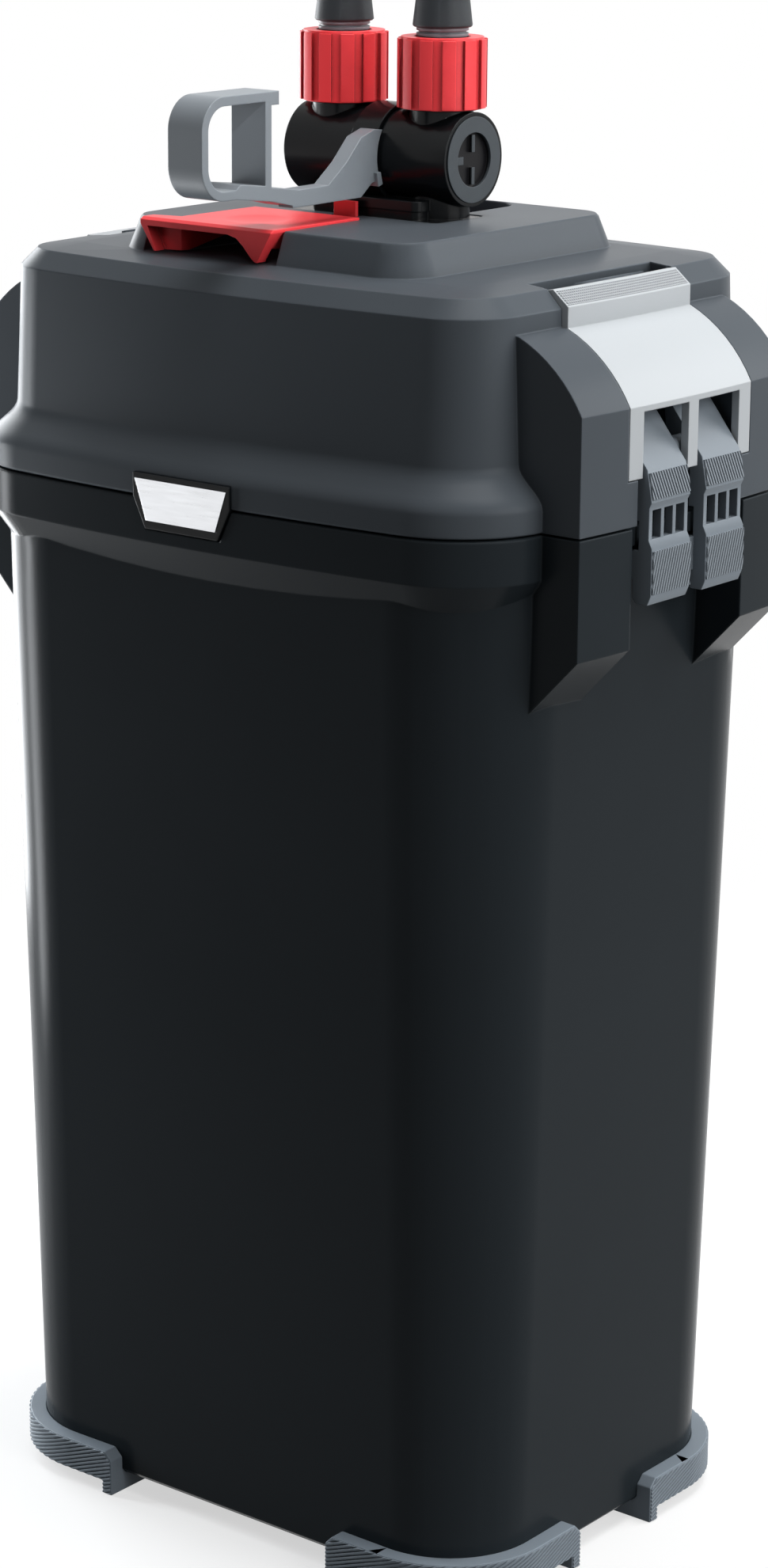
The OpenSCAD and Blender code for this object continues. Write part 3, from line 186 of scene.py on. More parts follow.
# %% [markdown]
# ## Shared effects
# Four effects return on many parts. A moulded skin has a fine grain from the mould and slow, faint
# changes of tone. Every edge of a moulding is a small radius that catches the light, which the Bevel
# node finds without new faces, and a painted highlight lightens the colour along it. Brushed metal has
# scratches drawn out along one direction. Grooves and hollows get painted shade: their colour is darkened
# where little light reaches them. Each effect is a group that puts out colours, values and normals, and
# each finish sets its own amounts.

# %% Moulded skin
TONE_SCALE, TONE_DETAIL = 14.0, 3.0
GRAIN_DETAIL = 2.0
SPECKLE = 0.05


def moulded_skin():
    """Slow changes of tone over the whole part, and the grain of the mould as a height."""
    group, given, result = open_group(
        "moulded skin",
        [
            ("Colour", "Color", (0.1, 0.1, 0.1, 1)),
            ("Tone change", "Float", 0.08),
            ("Roughness", "Float", 0.4),
            ("Roughness change", "Float", 0.08),
            ("Grain size", "Float", 0.5),
        ],
        [("Colour", "Color"), ("Roughness", "Float"), ("Height", "Float")],
    )
    place = add(group, "ShaderNodeTexCoord").outputs["Object"]
    slow = noise(group, place, TONE_SCALE, TONE_DETAIL)
    fine = noise(group, place, maths(group, "DIVIDE", 1 / MM, given["Grain size"]), GRAIN_DETAIL)
    drift = swing(group, slow)
    tone = maths(group, "MULTIPLY_ADD", drift, given["Tone change"], 1.0)
    rough = maths(group, "MULTIPLY_ADD", drift, given["Roughness change"], given["Roughness"])
    speckled = maths(group, "MULTIPLY_ADD", swing(group, fine), SPECKLE, rough)
    put_out(group, result, Colour=scaled(group, given["Colour"], tone), Roughness=speckled, Height=fine)
    return group


MOULDED_SKIN = moulded_skin()

# %% Soft edges
BEVEL_SAMPLES = 6
EDGE_TURN = (0.01, 0.16)


def soft_edges():
    """Rounds the normals near an edge, and paints a highlight into the colour where they turn."""
    group, given, result = open_group(
        "soft edges",
        [
            ("Radius", "Float", 0.5 * MM),
            ("Colour", "Color", (0.1, 0.1, 0.1, 1)),
            ("Lightening", "Float", 0.5),
        ],
        [("Colour", "Color"), ("Normal", "Vector")],
    )
    rounded = add(group, "ShaderNodeBevel", {"Radius": given["Radius"]}, samples=BEVEL_SAMPLES).outputs[0]
    flat = add(group, "ShaderNodeNewGeometry").outputs["Normal"]
    along = add(group, "ShaderNodeVectorMath", {0: rounded, 1: flat}, operation="DOT_PRODUCT")
    turned = maths(group, "SUBTRACT", 1.0, along.outputs["Value"])
    # painted highlight: the colour is lightened where the rounded normals turn from the flat ones
    painted_highlight = maths(group, "MULTIPLY_ADD", remap(group, turned, EDGE_TURN), given["Lightening"], 1.0)
    put_out(group, result, Colour=scaled(group, given["Colour"], painted_highlight), Normal=rounded)
    return group


SOFT_EDGES = soft_edges()

# %% Drawn scratches
SCRATCH_SCALE, SCRATCH_DETAIL = 90.0, 4.0
METAL_ROUGH, METAL_ROUGH_CHANGE = 0.3, 0.2


def drawn_scratches():
    """Noise squeezed across the drawing direction, as a tone, a roughness and a height."""
    group, given, result = open_group(
        "drawn scratches",
        [
            ("Colour", "Color", (0.5, 0.5, 0.5, 1)),
            ("Stretch", "Float", 40.0),
            ("Depth of tone", "Float", 0.2),
        ],
        [("Colour", "Color"), ("Roughness", "Float"), ("Height", "Float")],
    )
    place = add(group, "ShaderNodeTexCoord").outputs["Object"]
    scale = add(group, "ShaderNodeCombineXYZ", {"X": 1.0, "Y": given["Stretch"], "Z": given["Stretch"]})
    drawn = add(group, "ShaderNodeVectorMath", {0: place, 1: scale.outputs[0]}, operation="MULTIPLY")
    lines = noise(group, drawn.outputs[0], SCRATCH_SCALE, SCRATCH_DETAIL)
    drift = swing(group, lines)
    tone = maths(group, "MULTIPLY_ADD", drift, given["Depth of tone"], 1.0)
    rough = maths(group, "MULTIPLY_ADD", drift, METAL_ROUGH_CHANGE, METAL_ROUGH)
    put_out(group, result, Colour=scaled(group, given["Colour"], tone), Roughness=rough, Height=lines)
    return group


DRAWN_SCRATCHES = drawn_scratches()

# %% Painted cavity shade
SHADE_SAMPLES = 4
OPEN_SHARE = (0.2, 0.9)


def painted_cavity_shade():
    """Paints shade into the grooves and hollows that a part has in itself, where light hardly reaches."""
    group, given, result = open_group(
        "painted cavity shade",
        [
            ("Colour", "Color", (0.5, 0.5, 0.5, 1)),
            ("Reach", "Float", 6 * MM),
            ("Depth", "Float", 0.6),
        ],
        [("Colour", "Color")],
    )
    around = add(
        group, "ShaderNodeAmbientOcclusion", {"Distance": given["Reach"]},
        samples=SHADE_SAMPLES, only_local=True,
    )
    deepest = maths(group, "SUBTRACT", 1.0, given["Depth"])
    # painted shade: the colour is darkened where the occlusion finds the part closed round
    light = remap(group, around.outputs["AO"], OPEN_SHARE, (deepest, 1.0))
    put_out(group, result, Colour=scaled(group, given["Colour"], light))
    return group


PAINTED_CAVITY_SHADE = painted_cavity_shade()

# %% [markdown]
# ## Finishes
# The real filter is injection moulded: the plastic is coloured through, so the finishes differ in
# colour, gloss, grain and edge radius only. One function builds them all from those few values, and a
# table of named finishes keeps the values side by side, where they are easy to compare.

# %% Moulded plastic
ROUGHNESS_CHANGE = 0.3


def open_finish(name):
    made = bpy.data.materials.new(name)
    made.use_nodes = True
    return made, made.node_tree


def surface(tree, colour, roughness, normal):
    """Leads three sockets to the shader of a tree, and returns the shader."""
    shader = tree.nodes["Principled BSDF"]
    tree.links.new(colour, shader.inputs["Base Color"])
    tree.links.new(roughness, shader.inputs["Roughness"])
    tree.links.new(normal, shader.inputs["Normal"])
    return shader


def moulded(
    name, colour, rough, grain=0.5, bump=0.02, edge=0.5, edge_highlight=0.4, gloss=0.5, tone=0.1, cavity=0.6
):
    """A plastic whose grain, bump and edge radius are in millimetres."""
    made, tree = open_finish(name)
    skin = use_group(
        tree, MOULDED_SKIN, Colour=(*colour, 1), Tone_change=tone, Roughness=rough,
        Roughness_change=ROUGHNESS_CHANGE * rough, Grain_size=grain,
    )
    # painted shade in the part's own grooves and hollows
    shade = use_group(tree, PAINTED_CAVITY_SHADE, Colour=skin["Colour"], Depth=cavity)
    # the bevel rounds the normals, and a painted highlight lightens the colour along the edges
    edges = use_group(tree, SOFT_EDGES, Radius=edge * MM, Colour=shade["Colour"], Lightening=edge_highlight)
    grained = add(
        tree, "ShaderNodeBump",
        {"Strength": 1.0, "Distance": bump * MM, "Height": skin["Height"], "Normal": edges["Normal"]},
    )
    shader = surface(tree, edges["Colour"], skin["Roughness"], grained.outputs[0])
    shader.inputs["Specular IOR Level"].default_value = gloss
    return made


# %% Table of moulded finishes
finishes = {
    "case": moulded(
        "canister charcoal", (0.018, 0.023, 0.027), 0.24, bump=0.002, edge=0.9, gloss=0.04, tone=0.15
    ),
    "lid": moulded(
        "lid slate", (0.070, 0.081, 0.093), 0.34, bump=0.004, edge=0.8, edge_highlight=0.9, gloss=0.06
    ),
    "foot": moulded("foot grey", (0.19, 0.225, 0.26), 0.50, gloss=0.2),
    "cover": moulded(
        "cover silver grey", (0.43, 0.455, 0.475), 0.42, bump=0.008, edge_highlight=0.1, gloss=0.2
    ),
    "clamp": moulded("clamp grey", (0.185, 0.215, 0.245), 0.46, edge=0.4, gloss=0.2),
    "lever": moulded("lever grey", (0.20, 0.225, 0.25), 0.40, bump=0.01),
    "red": moulded(
        "signal red", (0.92, 0.06, 0.07), 0.36, bump=0.008, edge=0.3, edge_highlight=0.3, gloss=0.2, cavity=0.9
    ),
    "valve": moulded("valve black", (0.005, 0.006, 0.007), 0.24, bump=0.003, edge_highlight=1.5, gloss=0.15),
    "cap": moulded("cap grey", (0.055, 0.064, 0.072), 0.42, bump=0.01, edge=0.3, gloss=0.15),
    "stem": moulded("stem grey", (0.16, 0.18, 0.20), 0.40, bump=0.01, edge=0.2, gloss=0.3),
    "rubber": moulded("hose rubber", (0.022, 0.026, 0.03), 0.48, grain=0.35, edge=0.4, gloss=0.2),
    "foot_ribs": moulded("ribbed foot grey", (0.19, 0.225, 0.26), 0.50, edge=0.08, gloss=0.2),
    "clamp_ribs": moulded("ribbed clamp grey", (0.22, 0.25, 0.28), 0.46, edge=0.06, gloss=0.2),
    "cover_ribs": moulded("studded cover grey", (0.38, 0.40, 0.42), 0.46, edge=0.08, gloss=0.2),
    "basket": moulded("basket grey", (0.045, 0.055, 0.062), 0.5, edge=0.3),
    "ceramic": moulded("polished ceramic", (0.8, 0.78, 0.72), 0.18, edge=0.2),
    "magnet": moulded("magnet coating", (0.09, 0.11, 0.13), 0.35, edge=0.3),
}
print(len(finishes), "moulded finishes")

# %% [markdown]
# The end cap of each valve barrel has a recess with a black floor. The cap is one solid with one
# finish, so a mask in that finish finds the floor, by how near it lies to the middle of the filter, and
# blackens it.

# %% Recess of the end caps
RECESS_FACE = 31.3 * MM
RECESS_BLACK = (0.003, 0.003, 0.004, 1)


def blacken_recess(material, face):
    """Blackens what lies nearer the middle than face, measured along x."""
    tree = material.node_tree
    base = tree.nodes["Principled BSDF"].inputs["Base Color"]
    own = base.links[0].from_socket
    place = add(tree, "ShaderNodeTexCoord").outputs["Object"]
    across = add(tree, "ShaderNodeSeparateXYZ", {0: place}).outputs["X"]
    outside = maths(tree, "GREATER_THAN", maths(tree, "ABSOLUTE", across), face)
    both = add(tree, "ShaderNodeMix", {"Factor": outside, "A": RECESS_BLACK}, data_type="RGBA")
    tree.links.new(own, both.inputs["B"])
    tree.links.new(both.outputs["Result"], base)


blacken_recess(finishes["cap"], RECESS_FACE)
print(f"{finishes['cap'].name} is black within {RECESS_FACE / MM:.1f} mm of the middle")

# %% [markdown]
# The bare metals are the badge's trim, the steel pins and screws, and the copper winding. A metal
# shows its colour in its reflections, so the same scratches drive its tone, its roughness and a
# very shallow bump.

# %% Bare metals
SCRATCH_HEIGHT = 0.004 * MM


def drawn_metal(name, colour, stretch=40.0, tone=0.25):
    made, tree = open_finish(name)
    lines = use_group(tree, DRAWN_SCRATCHES, Colour=(*colour, 1), Stretch=stretch, Depth_of_tone=tone)
    bump = add(
        tree, "ShaderNodeBump", {"Strength": 1.0, "Distance": SCRATCH_HEIGHT, "Height": lines["Height"]}
    )
    shader = surface(tree, lines["Colour"], lines["Roughness"], bump.outputs[0])
    shader.inputs["Metallic"].default_value = 1.0
    return made


metals = {
    "steel": drawn_metal("drawn steel", (0.52, 0.53, 0.54)),
    "silver": drawn_metal("badge silver", (0.72, 0.73, 0.75), stretch=12.0, tone=0.12),
    "copper": drawn_metal("copper winding", (0.55, 0.25, 0.12), stretch=60.0, tone=0.5),
}
finishes.update(metals)
print("metals:", ", ".join(metals))

# %% [markdown]
# Inside the baskets lie crumbs of ceramic and a white fibre pad, with black foam beside them. Their
# grain is coarse enough to be seen, so a cell texture makes each of them, with large cells for the
# crumbs and small ones for the fibres and the foam.

# %% Filter media
MEDIA_ROUGH, MEDIA_GRAIN, MEDIA_TONE = 0.9, 0.8, 0.5
CELL_REACH = 0.7
GAP_PAINTED_SHADE = 0.4


def porous(name, colour, cell, depth):
    """A loose filling with cells of a size, and gaps of a depth, in millimetres."""
    made, tree = open_finish(name)
    place = add(tree, "ShaderNodeTexCoord").outputs["Object"]
    cells = add(tree, "ShaderNodeTexVoronoi", {"Vector": place, "Scale": 1 / (cell * MM)})
    skin = use_group(
        tree, MOULDED_SKIN, Colour=(*colour, 1), Tone_change=MEDIA_TONE, Roughness=MEDIA_ROUGH,
        Grain_size=MEDIA_GRAIN,
    )
    # painted shade in the gaps between the cells, which is also the height for the bump
    shade = remap(tree, cells.outputs["Distance"], (0.0, CELL_REACH), (1.0, GAP_PAINTED_SHADE))
    bump = add(tree, "ShaderNodeBump", {"Distance": depth * MM, "Height": shade})
    surface(tree, scaled(tree, skin["Colour"], shade), skin["Roughness"], bump.outputs[0])
    return made


finishes["media"] = porous("ceramic crumbs", (0.45, 0.36, 0.24), 9.0, 1.2)
finishes["floss"] = porous("fibre pad", (0.80, 0.82, 0.80), 1.6, 0.6)
finishes["foam"] = porous("filter foam", (0.03, 0.035, 0.04), 1.2, 0.8)
print("all finishes:", ", ".join(sorted(finishes)))

# %% [markdown]
# ## From construction solid to moulding
# A construction solid comes with flat facets and hard edges. A moulding starts with two steps: weld
# the doubled corners, and dissolve the facets of flat walls. Where the part is simple enough, a true
# bevel is then cut along its sharp edges. Faces with many corners are cut into triangles before that,
# because a wall with holes in it is one face, and such a face may be drawn wrong once the bevel has
# moved its corners. Last, weighted normals keep the flat walls flat. The frame's own mesh isn't
# touched: the moulding is a new object that stands for the solid.

# %% Mouldings
SHARP = math.radians(28)
WELD = 0.002 * MM
FLAT = math.radians(0.4)
MOST_CORNERS = 4
BEVEL_STEPS = 2
ROUND_PROFILE = 0.5


def mesh_data(name, mesh):
    data = bpy.data.meshes.new(name)
    mesh.to_mesh(data)
    mesh.free()
    return data


def face_count(pieces):
    return sum(len(piece.data.polygons) for piece in pieces)


def sharp_edges(mesh):
    return [e for e in mesh.edges if len(e.link_faces) == 2 and e.calc_face_angle() > SHARP]


def soften(mesh, width):
    """Cuts a rounded bevel along every sharp edge."""
    bmesh.ops.triangulate(mesh, faces=[face for face in mesh.faces if len(face.verts) > MOST_CORNERS])
    bmesh.ops.bevel(
        mesh, geom=sharp_edges(mesh), offset=width, offset_type="OFFSET", segments=BEVEL_STEPS,
        profile=ROUND_PROFILE, affect="EDGES", clamp_overlap=True, loop_slide=True,
    )


def dress(name, data, node, finish):
    """Puts a mesh on the node's body, in a finish."""
    for attribute in ("custom_normal", "sharp_face", "sharp_edge"):
        if attribute in data.attributes:
            data.attributes.remove(data.attributes[attribute])
    data.shade_smooth()
    data.set_sharp_from_angle(angle=SHARP)
    piece = bpy.data.objects.new(name, data)
    scene.collection.objects.link(piece)
    piece.modifiers.new("even normals", "WEIGHTED_NORMAL").keep_sharp = True
    data.materials.clear()
    data.materials.append(finishes[finish])
    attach(piece, frame["nodes"][node]["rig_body"])
    return piece


def moulding(node, bevel=0.0):
    """Makes the piece that stands for a node, with a bevel in millimetres."""
    mesh = bmesh.new()
    mesh.from_mesh(frame["nodes"][node].data)
    bmesh.ops.remove_doubles(mesh, verts=mesh.verts, dist=WELD)
    bmesh.ops.dissolve_limit(mesh, angle_limit=FLAT, verts=mesh.verts, edges=mesh.edges)
    if bevel:
        soften(mesh, bevel * MM)
    name = node + "_moulding"
    piece = dress(name, mesh_data(name, mesh), node, slot_of[node])
    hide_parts(node)
    return piece


def paint(nodes):
    """Gives the solids that are kept the finish of their slot."""
    for name in nodes:
        solid = frame["nodes"][name]
        solid.data.materials.clear()
        solid.data.materials.append(finishes[slot_of[name]])


# %% [markdown]
# ## The shells
# The canister and the lid are thin shells with long soft walls. Their mouldings keep every cut of the
# solids and only lose the facets, and the soft edge comes from the finish. The covers over the two
# ends of the lid are made the same way.

# %% Canister, lid and covers
SHELLS = ("canister_case", "lid_cover", "clamp_cover_left", "clamp_cover_right")
shells = [moulding(node) for node in SHELLS]
print(face_count(shells), "faces on the shells")

# %% [markdown]
# ## The smaller parts
# On a small part the radius of an edge can be seen as a shape, so the table gives each part a true bevel
# in millimetres. The valve block has none, and gets its soft edges from the finish alone. The parts
# that aren't listed keep their solids and are painted.

# %% Smaller mouldings
SMALL_PARTS = {
    "flow_lever": 0.45, "eject_lever": 0.4, "valve_block": 0.0, "lever_collar": 0.3,
    "clamp_left": 0.25, "clamp_right": 0.25, "lock_nut_left": 0.25, "lock_nut_right": 0.25,
    "end_cap_left": 0.2, "end_cap_right": 0.2, "hose_cuff_left": 0.3, "hose_cuff_right": 0.3,
    "hose_stem_left": 0.1, "hose_stem_right": 0.1, "badge_bezel": 0.3, "badge_plate": 0.15,
    "cable_gland": 0.4, "foot_front_left": 0.4, "foot_front_right": 0.4, "foot_back_left": 0.4,
    "foot_back_right": 0.4,
}
small = [moulding(node, bevel) for node, bevel in SMALL_PARTS.items()]
kept_solids = sorted(set(slot_of) - set(SHELLS) - set(SMALL_PARTS))
paint(kept_solids)
print(face_count(small), "faces on", len(small), "small mouldings")
print(len(kept_solids), "parts keep their solids")

# %% [markdown]
# ## Ribbed skins
# Fine slanting ribs cover the feet and the clamp fingers, and small studs cover the top edge of each
# clamp cover. A pattern is first made flat, in plain coordinates u and v, because a flat sheet is easy
# to cut to an outline. Only then is each of its points placed on the moulding, round the corner of a
# foot or up the slope of a finger. The sheet is closed behind and sunk a little, so no gap can show.
# All measures of the skins are in millimetres, until wrap brings them to the scene's metres.

# %% Flat sheets with a relief
# A profile is a row of corners, each at a share of the pitch and with a share of the height
RIB = ((0.0, 0.0), (0.12, 0.0), (0.34, 1.0), (0.78, 1.0))
PLAIN = ((0.0, 1.0),)
SKIN_SUNK = 0.3
SIDES = {"right": 1, "left": -1}
ENDS = {"front": 1, "back": -1}


def marks(values, pitch, profile):
    """Where a profile that repeats at a pitch has its corners, and how high each of them is."""
    first, last = math.floor(min(values) / pitch), math.ceil(max(values) / pitch) + 1
    return [((step + part) * pitch, rise) for step in range(first, last) for part, rise in profile]


def trim(mesh, outline):
    """Cuts away what lies outside a convex outline, whose points run anticlockwise."""
    for here, there in zip(outline, outline[1:] + outline[:1]):
        bmesh.ops.bisect_plane(
            mesh, geom=mesh.verts[:] + mesh.edges[:] + mesh.faces[:], plane_co=(*here, 0),
            plane_no=(there[1] - here[1], here[0] - there[0], 0), clear_outer=True,
        )


def relief(outline, height, across, along, lean=0.0):
    """A closed sheet; across and along are each a pitch and the profile that repeats at it."""
    a_axis = Vector((math.cos(lean), math.sin(lean)))
    b_axis = Vector((-math.sin(lean), math.cos(lean)))
    a_marks = marks([a_axis.dot(Vector(point)) for point in outline], *along)
    b_marks = marks([b_axis.dot(Vector(point)) for point in outline], *across)
    mesh = bmesh.new()
    rows = [
        [mesh.verts.new((*(a_axis * a + b_axis * b), height * min(a_rise, b_rise))) for a, a_rise in a_marks]
        for b, b_rise in b_marks
    ]
    for lower, upper in zip(rows, rows[1:]):
        for i in range(len(a_marks) - 1):
            mesh.faces.new((lower[i], lower[i + 1], upper[i + 1], upper[i]))
    trim(mesh, outline)
    doubled = bmesh.ops.extrude_face_region(mesh, geom=mesh.faces[:], use_keep_orig=True)
    for part in doubled["geom"]:
        if isinstance(part, bmesh.types.BMVert):
            part.co.z = -SKIN_SUNK
    return mesh


def wrap(name, node, sheets, place, finish):
    """Joins flat sheets into one piece, with each point taken to place(u, v, height)."""
    whole = bmesh.new()
    for sheet in sheets:
        for vert in sheet.verts:
            vert.co = Vector(place(*vert.co)) * MM
        data = mesh_data(name, sheet)
        whole.from_mesh(data)
        bpy.data.meshes.remove(data)
    bmesh.ops.recalc_face_normals(whole, faces=whole.faces)
    return dress(name, mesh_data(name, whole), node, finish)


def rectangle(left, right, low, high):
    return [(left, low), (right, low), (right, high), (left, high)]


# %% [markdown]
# A foot is a quarter of a rounded frame: two short straight walls and a large corner between them, with
# a leg at each end and a gap under the middle. Unrolled, its outside is a flat band with two legs. The
# band is ribbed flat and then rolled round the corner, so the ribs keep their pitch all the way.

# %% Ribs round the feet
FOOT_CORNER = 36.4
FOOT_LEG, FOOT_GAP, FOOT_CHAMFER = 4.0, 4.4, 2.8
FOOT_RIM = 0.35
FOOT_LEAN = math.radians(21.5)
FOOT_RIB_RISE, FOOT_RIB_PITCH = 0.42, 1.26
# A rib has points at this step, so that it can follow the corner
FOOT_STEP = 1.8
foot_low, foot_high = (corner / MM for corner in map(Vector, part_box("foot_front_right")))
foot_start = foot_high.x - FOOT_CORNER - foot_low.x
foot_turn = FOOT_CORNER * math.pi / 2
foot_length = foot_start + foot_turn + foot_high.y - foot_low.y - FOOT_CORNER


def round_foot(side, end):
    """Takes a length u round the outside of a foot, a height v and a rise to a place in the frame."""

    def place(u, v, rise):
        turn = min(max((u - foot_start) / FOOT_CORNER, 0), math.pi / 2)
        before, beyond = min(u, foot_start), max(u - foot_start - foot_turn, 0)
        x = foot_low.x + before + (FOOT_CORNER + rise) * math.sin(turn)
        y = foot_low.y + FOOT_CORNER - (FOOT_CORNER + rise) * math.cos(turn) + beyond
        return side * x, end * y, v

    return place


def foot_outlines():
    """The unrolled band with its two cut corners, and the leg at each end of it."""
    left, right, cut = FOOT_RIM, foot_length - FOOT_RIM, FOOT_CHAMFER + FOOT_RIM / 2
    low, high = FOOT_GAP + FOOT_RIM, foot_high.z - FOOT_RIM
    band = [
        (left, low), (right, low), (right, high - cut), (right - cut, high), (left + cut, high),
        (left, high - cut),
    ]
    legs = [
        rectangle(start + FOOT_RIM, start + FOOT_LEG - FOOT_RIM, FOOT_RIM, low)
        for start in (0, foot_length - FOOT_LEG)
    ]
    return [band, *legs]


def foot_ribs(side_name, end_name):
    side, end = SIDES[side_name], ENDS[end_name]
    foot = f"foot_{end_name}_{side_name}"
    lean = FOOT_LEAN * side * end
    sheets = [
        relief(outline, FOOT_RIB_RISE, (FOOT_RIB_PITCH, RIB), (FOOT_STEP, PLAIN), lean)
        for outline in foot_outlines()
    ]
    return wrap(foot + "_ribs", foot, sheets, round_foot(side, end), "foot_ribs")


foot_skins = [foot_ribs(side_name, end_name) for side_name in SIDES for end_name in ENDS]
print(face_count(foot_skins), "faces in the ribs round the feet")

# %% [markdown]
# Each clamp has two fingers, and a row of slots divides the ribs of each into an upper and a lower
# field. A field lies on a slope that runs straight up the finger, and the ribs of the two fields lean
# opposite ways. The step along a rib is longer than the field, because a straight rib needs no points
# between.

# %% Ribs on the clamp fingers
FINGER_IN, FINGER_OUT = 4.2, 24.0
FINGER_RIM = 0.3
FINGER_LEAN = math.radians(106.7)
FINGER_RIB_RISE, FINGER_RIB_PITCH = 0.62, 1.24
FINGER_STEP = 60.0
# The low and high edge of a field as (x, z), its plain lips at both, and the lean of its ribs
FINGER_FIELDS = {
    "upper": ((123.4, 347.8), (121.6, 357.4), (0.9, 1.0), FINGER_LEAN),
    "lower": ((123.8, 320.0), (123.8, 334.2), (0.6, 0.7), math.pi - FINGER_LEAN),
}


def slope_length(low, high):
    return (Vector(high) - Vector(low)).length


def up_slope(side, low, high):
    """Takes (u, v, rise) onto a slope through two points (x, z): u across it and v up it."""
    climb = (Vector(high) - Vector(low)).normalized()

    def place(u, v, rise):
        x = low[0] + climb.x * v + climb.y * rise
        return side * x, side * u, low[1] + climb.y * v - climb.x * rise

    return place


def finger_ribs(side_name, field):
    low, high, lips, lean = FINGER_FIELDS[field]
    near, far = FINGER_IN + FINGER_RIM, FINGER_OUT - FINGER_RIM
    bottom, top = lips[0], slope_length(low, high) - lips[1]
    ribbed, plain = (FINGER_RIB_PITCH, RIB), (FINGER_STEP, PLAIN)
    sheets = [
        relief(rectangle(left, right, bottom, top), FINGER_RIB_RISE, ribbed, plain, lean)
        for left, right in ((near, far), (-far, -near))
    ]
    clamp = "clamp_" + side_name
    slope = up_slope(SIDES[side_name], low, high)
    return wrap(f"{clamp}_{field}_ribs", clamp, sheets, slope, "clamp_ribs")


finger_skins = [finger_ribs(side_name, field) for side_name in SIDES for field in FINGER_FIELDS]
print(face_count(finger_skins), "faces in the ribs on the clamp fingers")

# %% [markdown]
# The top edge of a clamp cover is a narrow slope of small studs, which bows out a little in the middle.
# The same relief makes them, with the profile of a rib in both directions at once.

# %% Studs along the clamp covers
# The low and high edge of the strip as (x, z), and how far it is drawn in at its ends
STRIP_LOW, STRIP_HIGH = (98.16, 403.4), (92.56, 408.0)
STRIP_HALF, STRIP_BOW = 31.3, 0.846
STRIP_END, STRIP_LIPS = 0.7, (0.6, 0.9)
STUD_RISE, STUD_PITCH = 0.3, 0.95


def along_cover(side):
    """Takes (u, v, rise) onto the strip's slope, and draws it in towards the strip's ends."""
    on_slope = up_slope(side, STRIP_LOW, STRIP_HIGH)

    def place(u, v, rise):
        x, y, z = on_slope(u, v, rise)
        return x - side * STRIP_BOW * (u / STRIP_HALF) ** 2, y, z

    return place


def cover_studs(side_name):
    reach = STRIP_HALF - STRIP_END
    top = slope_length(STRIP_LOW, STRIP_HIGH) - STRIP_LIPS[1]
    studs = (STUD_PITCH, RIB)
    sheet = relief(rectangle(-reach, reach, STRIP_LIPS[0], top), STUD_RISE, studs, studs)
    cover = "clamp_cover_" + side_name
    return wrap(cover + "_studs", cover, [sheet], along_cover(SIDES[side_name]), "cover_ribs")


stud_skins = [cover_studs(side_name) for side_name in SIDES]
print(face_count(stud_skins), "faces in the studs on the covers")

# %% [markdown]
# ## Studio
# The filter stands on a plain white floor, a disc that reaches far behind it. The floor is white where
# it is seen or mirrored, and dim where it lights the filter, so it doesn't brighten the plastic from
# below. Near the filter some of the floor is plain matt paper, which takes the shadow. The world round
# it works the same way.

# %% Floor and world
WHITE = (1, 1, 1, 1)
PAPER = (0.94, 0.94, 0.94, 1)
BOUNCE = (0.10, 0.10, 0.10, 1)
FILL = 0.035
NEAR_GLOW = 0.60
GLOW_RANGE = (0.30, 0.75)
FLOOR_RADIUS, FLOOR_SIDES = 12.0, 96


def seen_or_mirrored(tree):
    rays = add(tree, "ShaderNodeLightPath").outputs
    seen = maths(tree, "MAXIMUM", rays["Is Camera Ray"], rays["Is Glossy Ray"])
    return maths(tree, "MAXIMUM", seen, rays["Is Transmission Ray"])


def floor_paper():
    """Partly matt paper near the filter, which goes over into a plain white glow further out."""
    paper, tree = open_finish("white floor")
    tree.nodes.remove(tree.nodes["Principled BSDF"])
    place = add(tree, "ShaderNodeTexCoord").outputs["Object"]
    reach = add(tree, "ShaderNodeVectorMath", {0: place}, operation="LENGTH").outputs["Value"]
    far = remap(tree, reach, GLOW_RANGE, interpolation_type="SMOOTHSTEP")
    shown = seen_or_mirrored(tree)
    colour = add(tree, "ShaderNodeMix", {"Factor": shown, "A": BOUNCE, "B": PAPER}, data_type="RGBA")
    matt = add(tree, "ShaderNodeBsdfDiffuse", {"Color": colour.outputs["Result"]})
    glow = add(tree, "ShaderNodeEmission", {"Color": WHITE, "Strength": 1.0})
    white = maths(tree, "MULTIPLY", remap(tree, far, new=(NEAR_GLOW, 1.0)), shown)
    both = add(tree, "ShaderNodeMixShader", {0: white, 1: matt.outputs[0], 2: glow.outputs[0]})
    tree.links.new(both.outputs[0], tree.nodes["Material Output"].inputs["Surface"])
    return paper


def make_floor():
    mesh = bmesh.new()
    bmesh.ops.create_circle(mesh, cap_ends=True, segments=FLOOR_SIDES, radius=FLOOR_RADIUS)
    floor = bpy.data.objects.new("floor", mesh_data("floor", mesh))
    scene.collection.objects.link(floor)
    floor.data.materials.append(floor_paper())


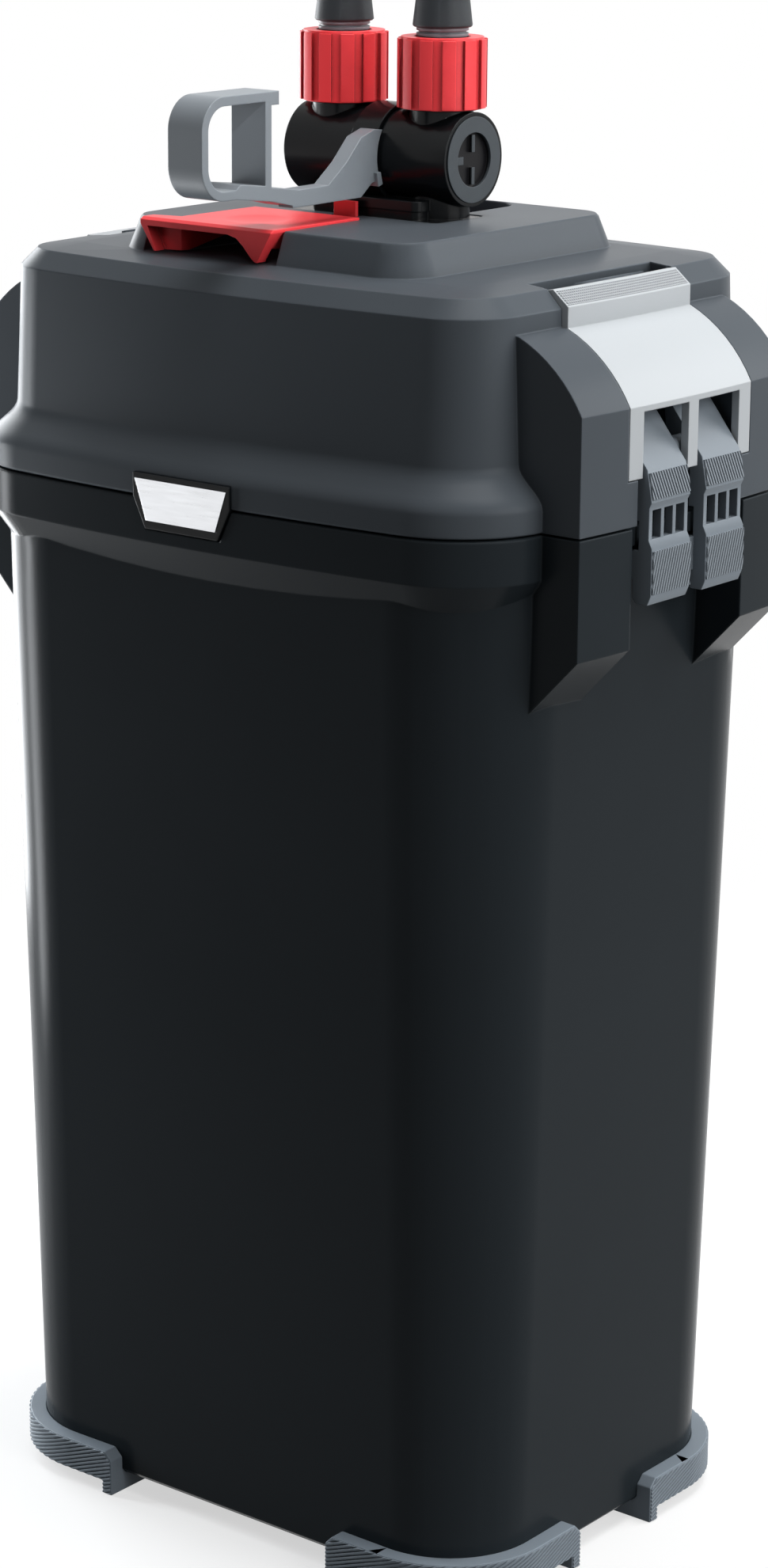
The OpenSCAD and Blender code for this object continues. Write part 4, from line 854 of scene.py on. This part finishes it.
def make_world():
    world = bpy.data.worlds.new("white studio")
    world.use_nodes = True
    scene.world = world
    tree = world.node_tree
    strength = remap(tree, seen_or_mirrored(tree), new=(FILL, 1.0))
    tree.links.new(strength, tree.nodes["Background"].inputs["Strength"])
    tree.nodes["Background"].inputs["Color"].default_value = WHITE


make_floor()
make_world()
print(f"a floor of {FLOOR_RADIUS} m round the filter, and a world at {FILL}")

# %% [markdown]
# The main lamps are wide, one far out on the right and one above, so the clamp end and the tops are
# light while the front stays dark. Tall lamps on the left light that side and draw a line along the
# rounded corner. A small lamp with a snoot, which keeps its light in a narrow cone, lights the valve's
# head without the canister. A lamp's power says little, because its effect also depends on the
# distance. So each lamp is set by how bright it would make a white card at its aim.


# %% Lamps
def snoot_gain(spread):
    """How much brighter the axis of a lamp is when its light keeps within the spread angle."""
    half = math.radians(spread) / 2
    return math.tan(half) / (math.tan(half) - half)


def lamp(name, place, aim, size, level, tint=(1, 1, 1), spread=180):
    """A soft box that gives a white card at its aim the brightness level."""
    data = bpy.data.lights.new(name, "AREA")
    data.shape = "RECTANGLE"
    data.size, data.size_y = size
    data.spread = math.radians(spread)
    data.color = tint
    towards = Vector(aim) - Vector(place)
    data.energy = level * math.pi**2 * towards.length_squared / snoot_gain(spread)
    made = bpy.data.objects.new(name, data)
    scene.collection.objects.link(made)
    made.location = place
    made.rotation_euler = towards.to_track_quat("-Z", "Y").to_euler()


MIDDLE = (0, 0, 0.25)
COOL = (0.94, 0.97, 1.0)
lamp("key", (1.9, 0.1, 0.95), MIDDLE, (1.6, 1.4), 0.68)
lamp("top", (0.4, 0.2, 2.2), (0, 0, 0.4), (1.2, 1.2), 1.10)
lamp("back right", (0.85, 1.15, 1.0), (0, 0, 0.37), (0.8, 0.7), 0.40)
lamp("left strip", (-0.61, 0.10, 0.33), (0, 0, 0.28), (0.30, 0.64), 1.30, COOL)
lamp("left front", (-0.45, -0.18, 0.20), (0, 0, 0.18), (0.10, 0.36), 0.80, COOL)
lamp("valve head", (1.0, -1.2, 1.25), (0, 0, 0.53), (0.12, 0.12), 0.60, spread=9)
print("lamps:", ", ".join(light.name for light in bpy.data.lights))
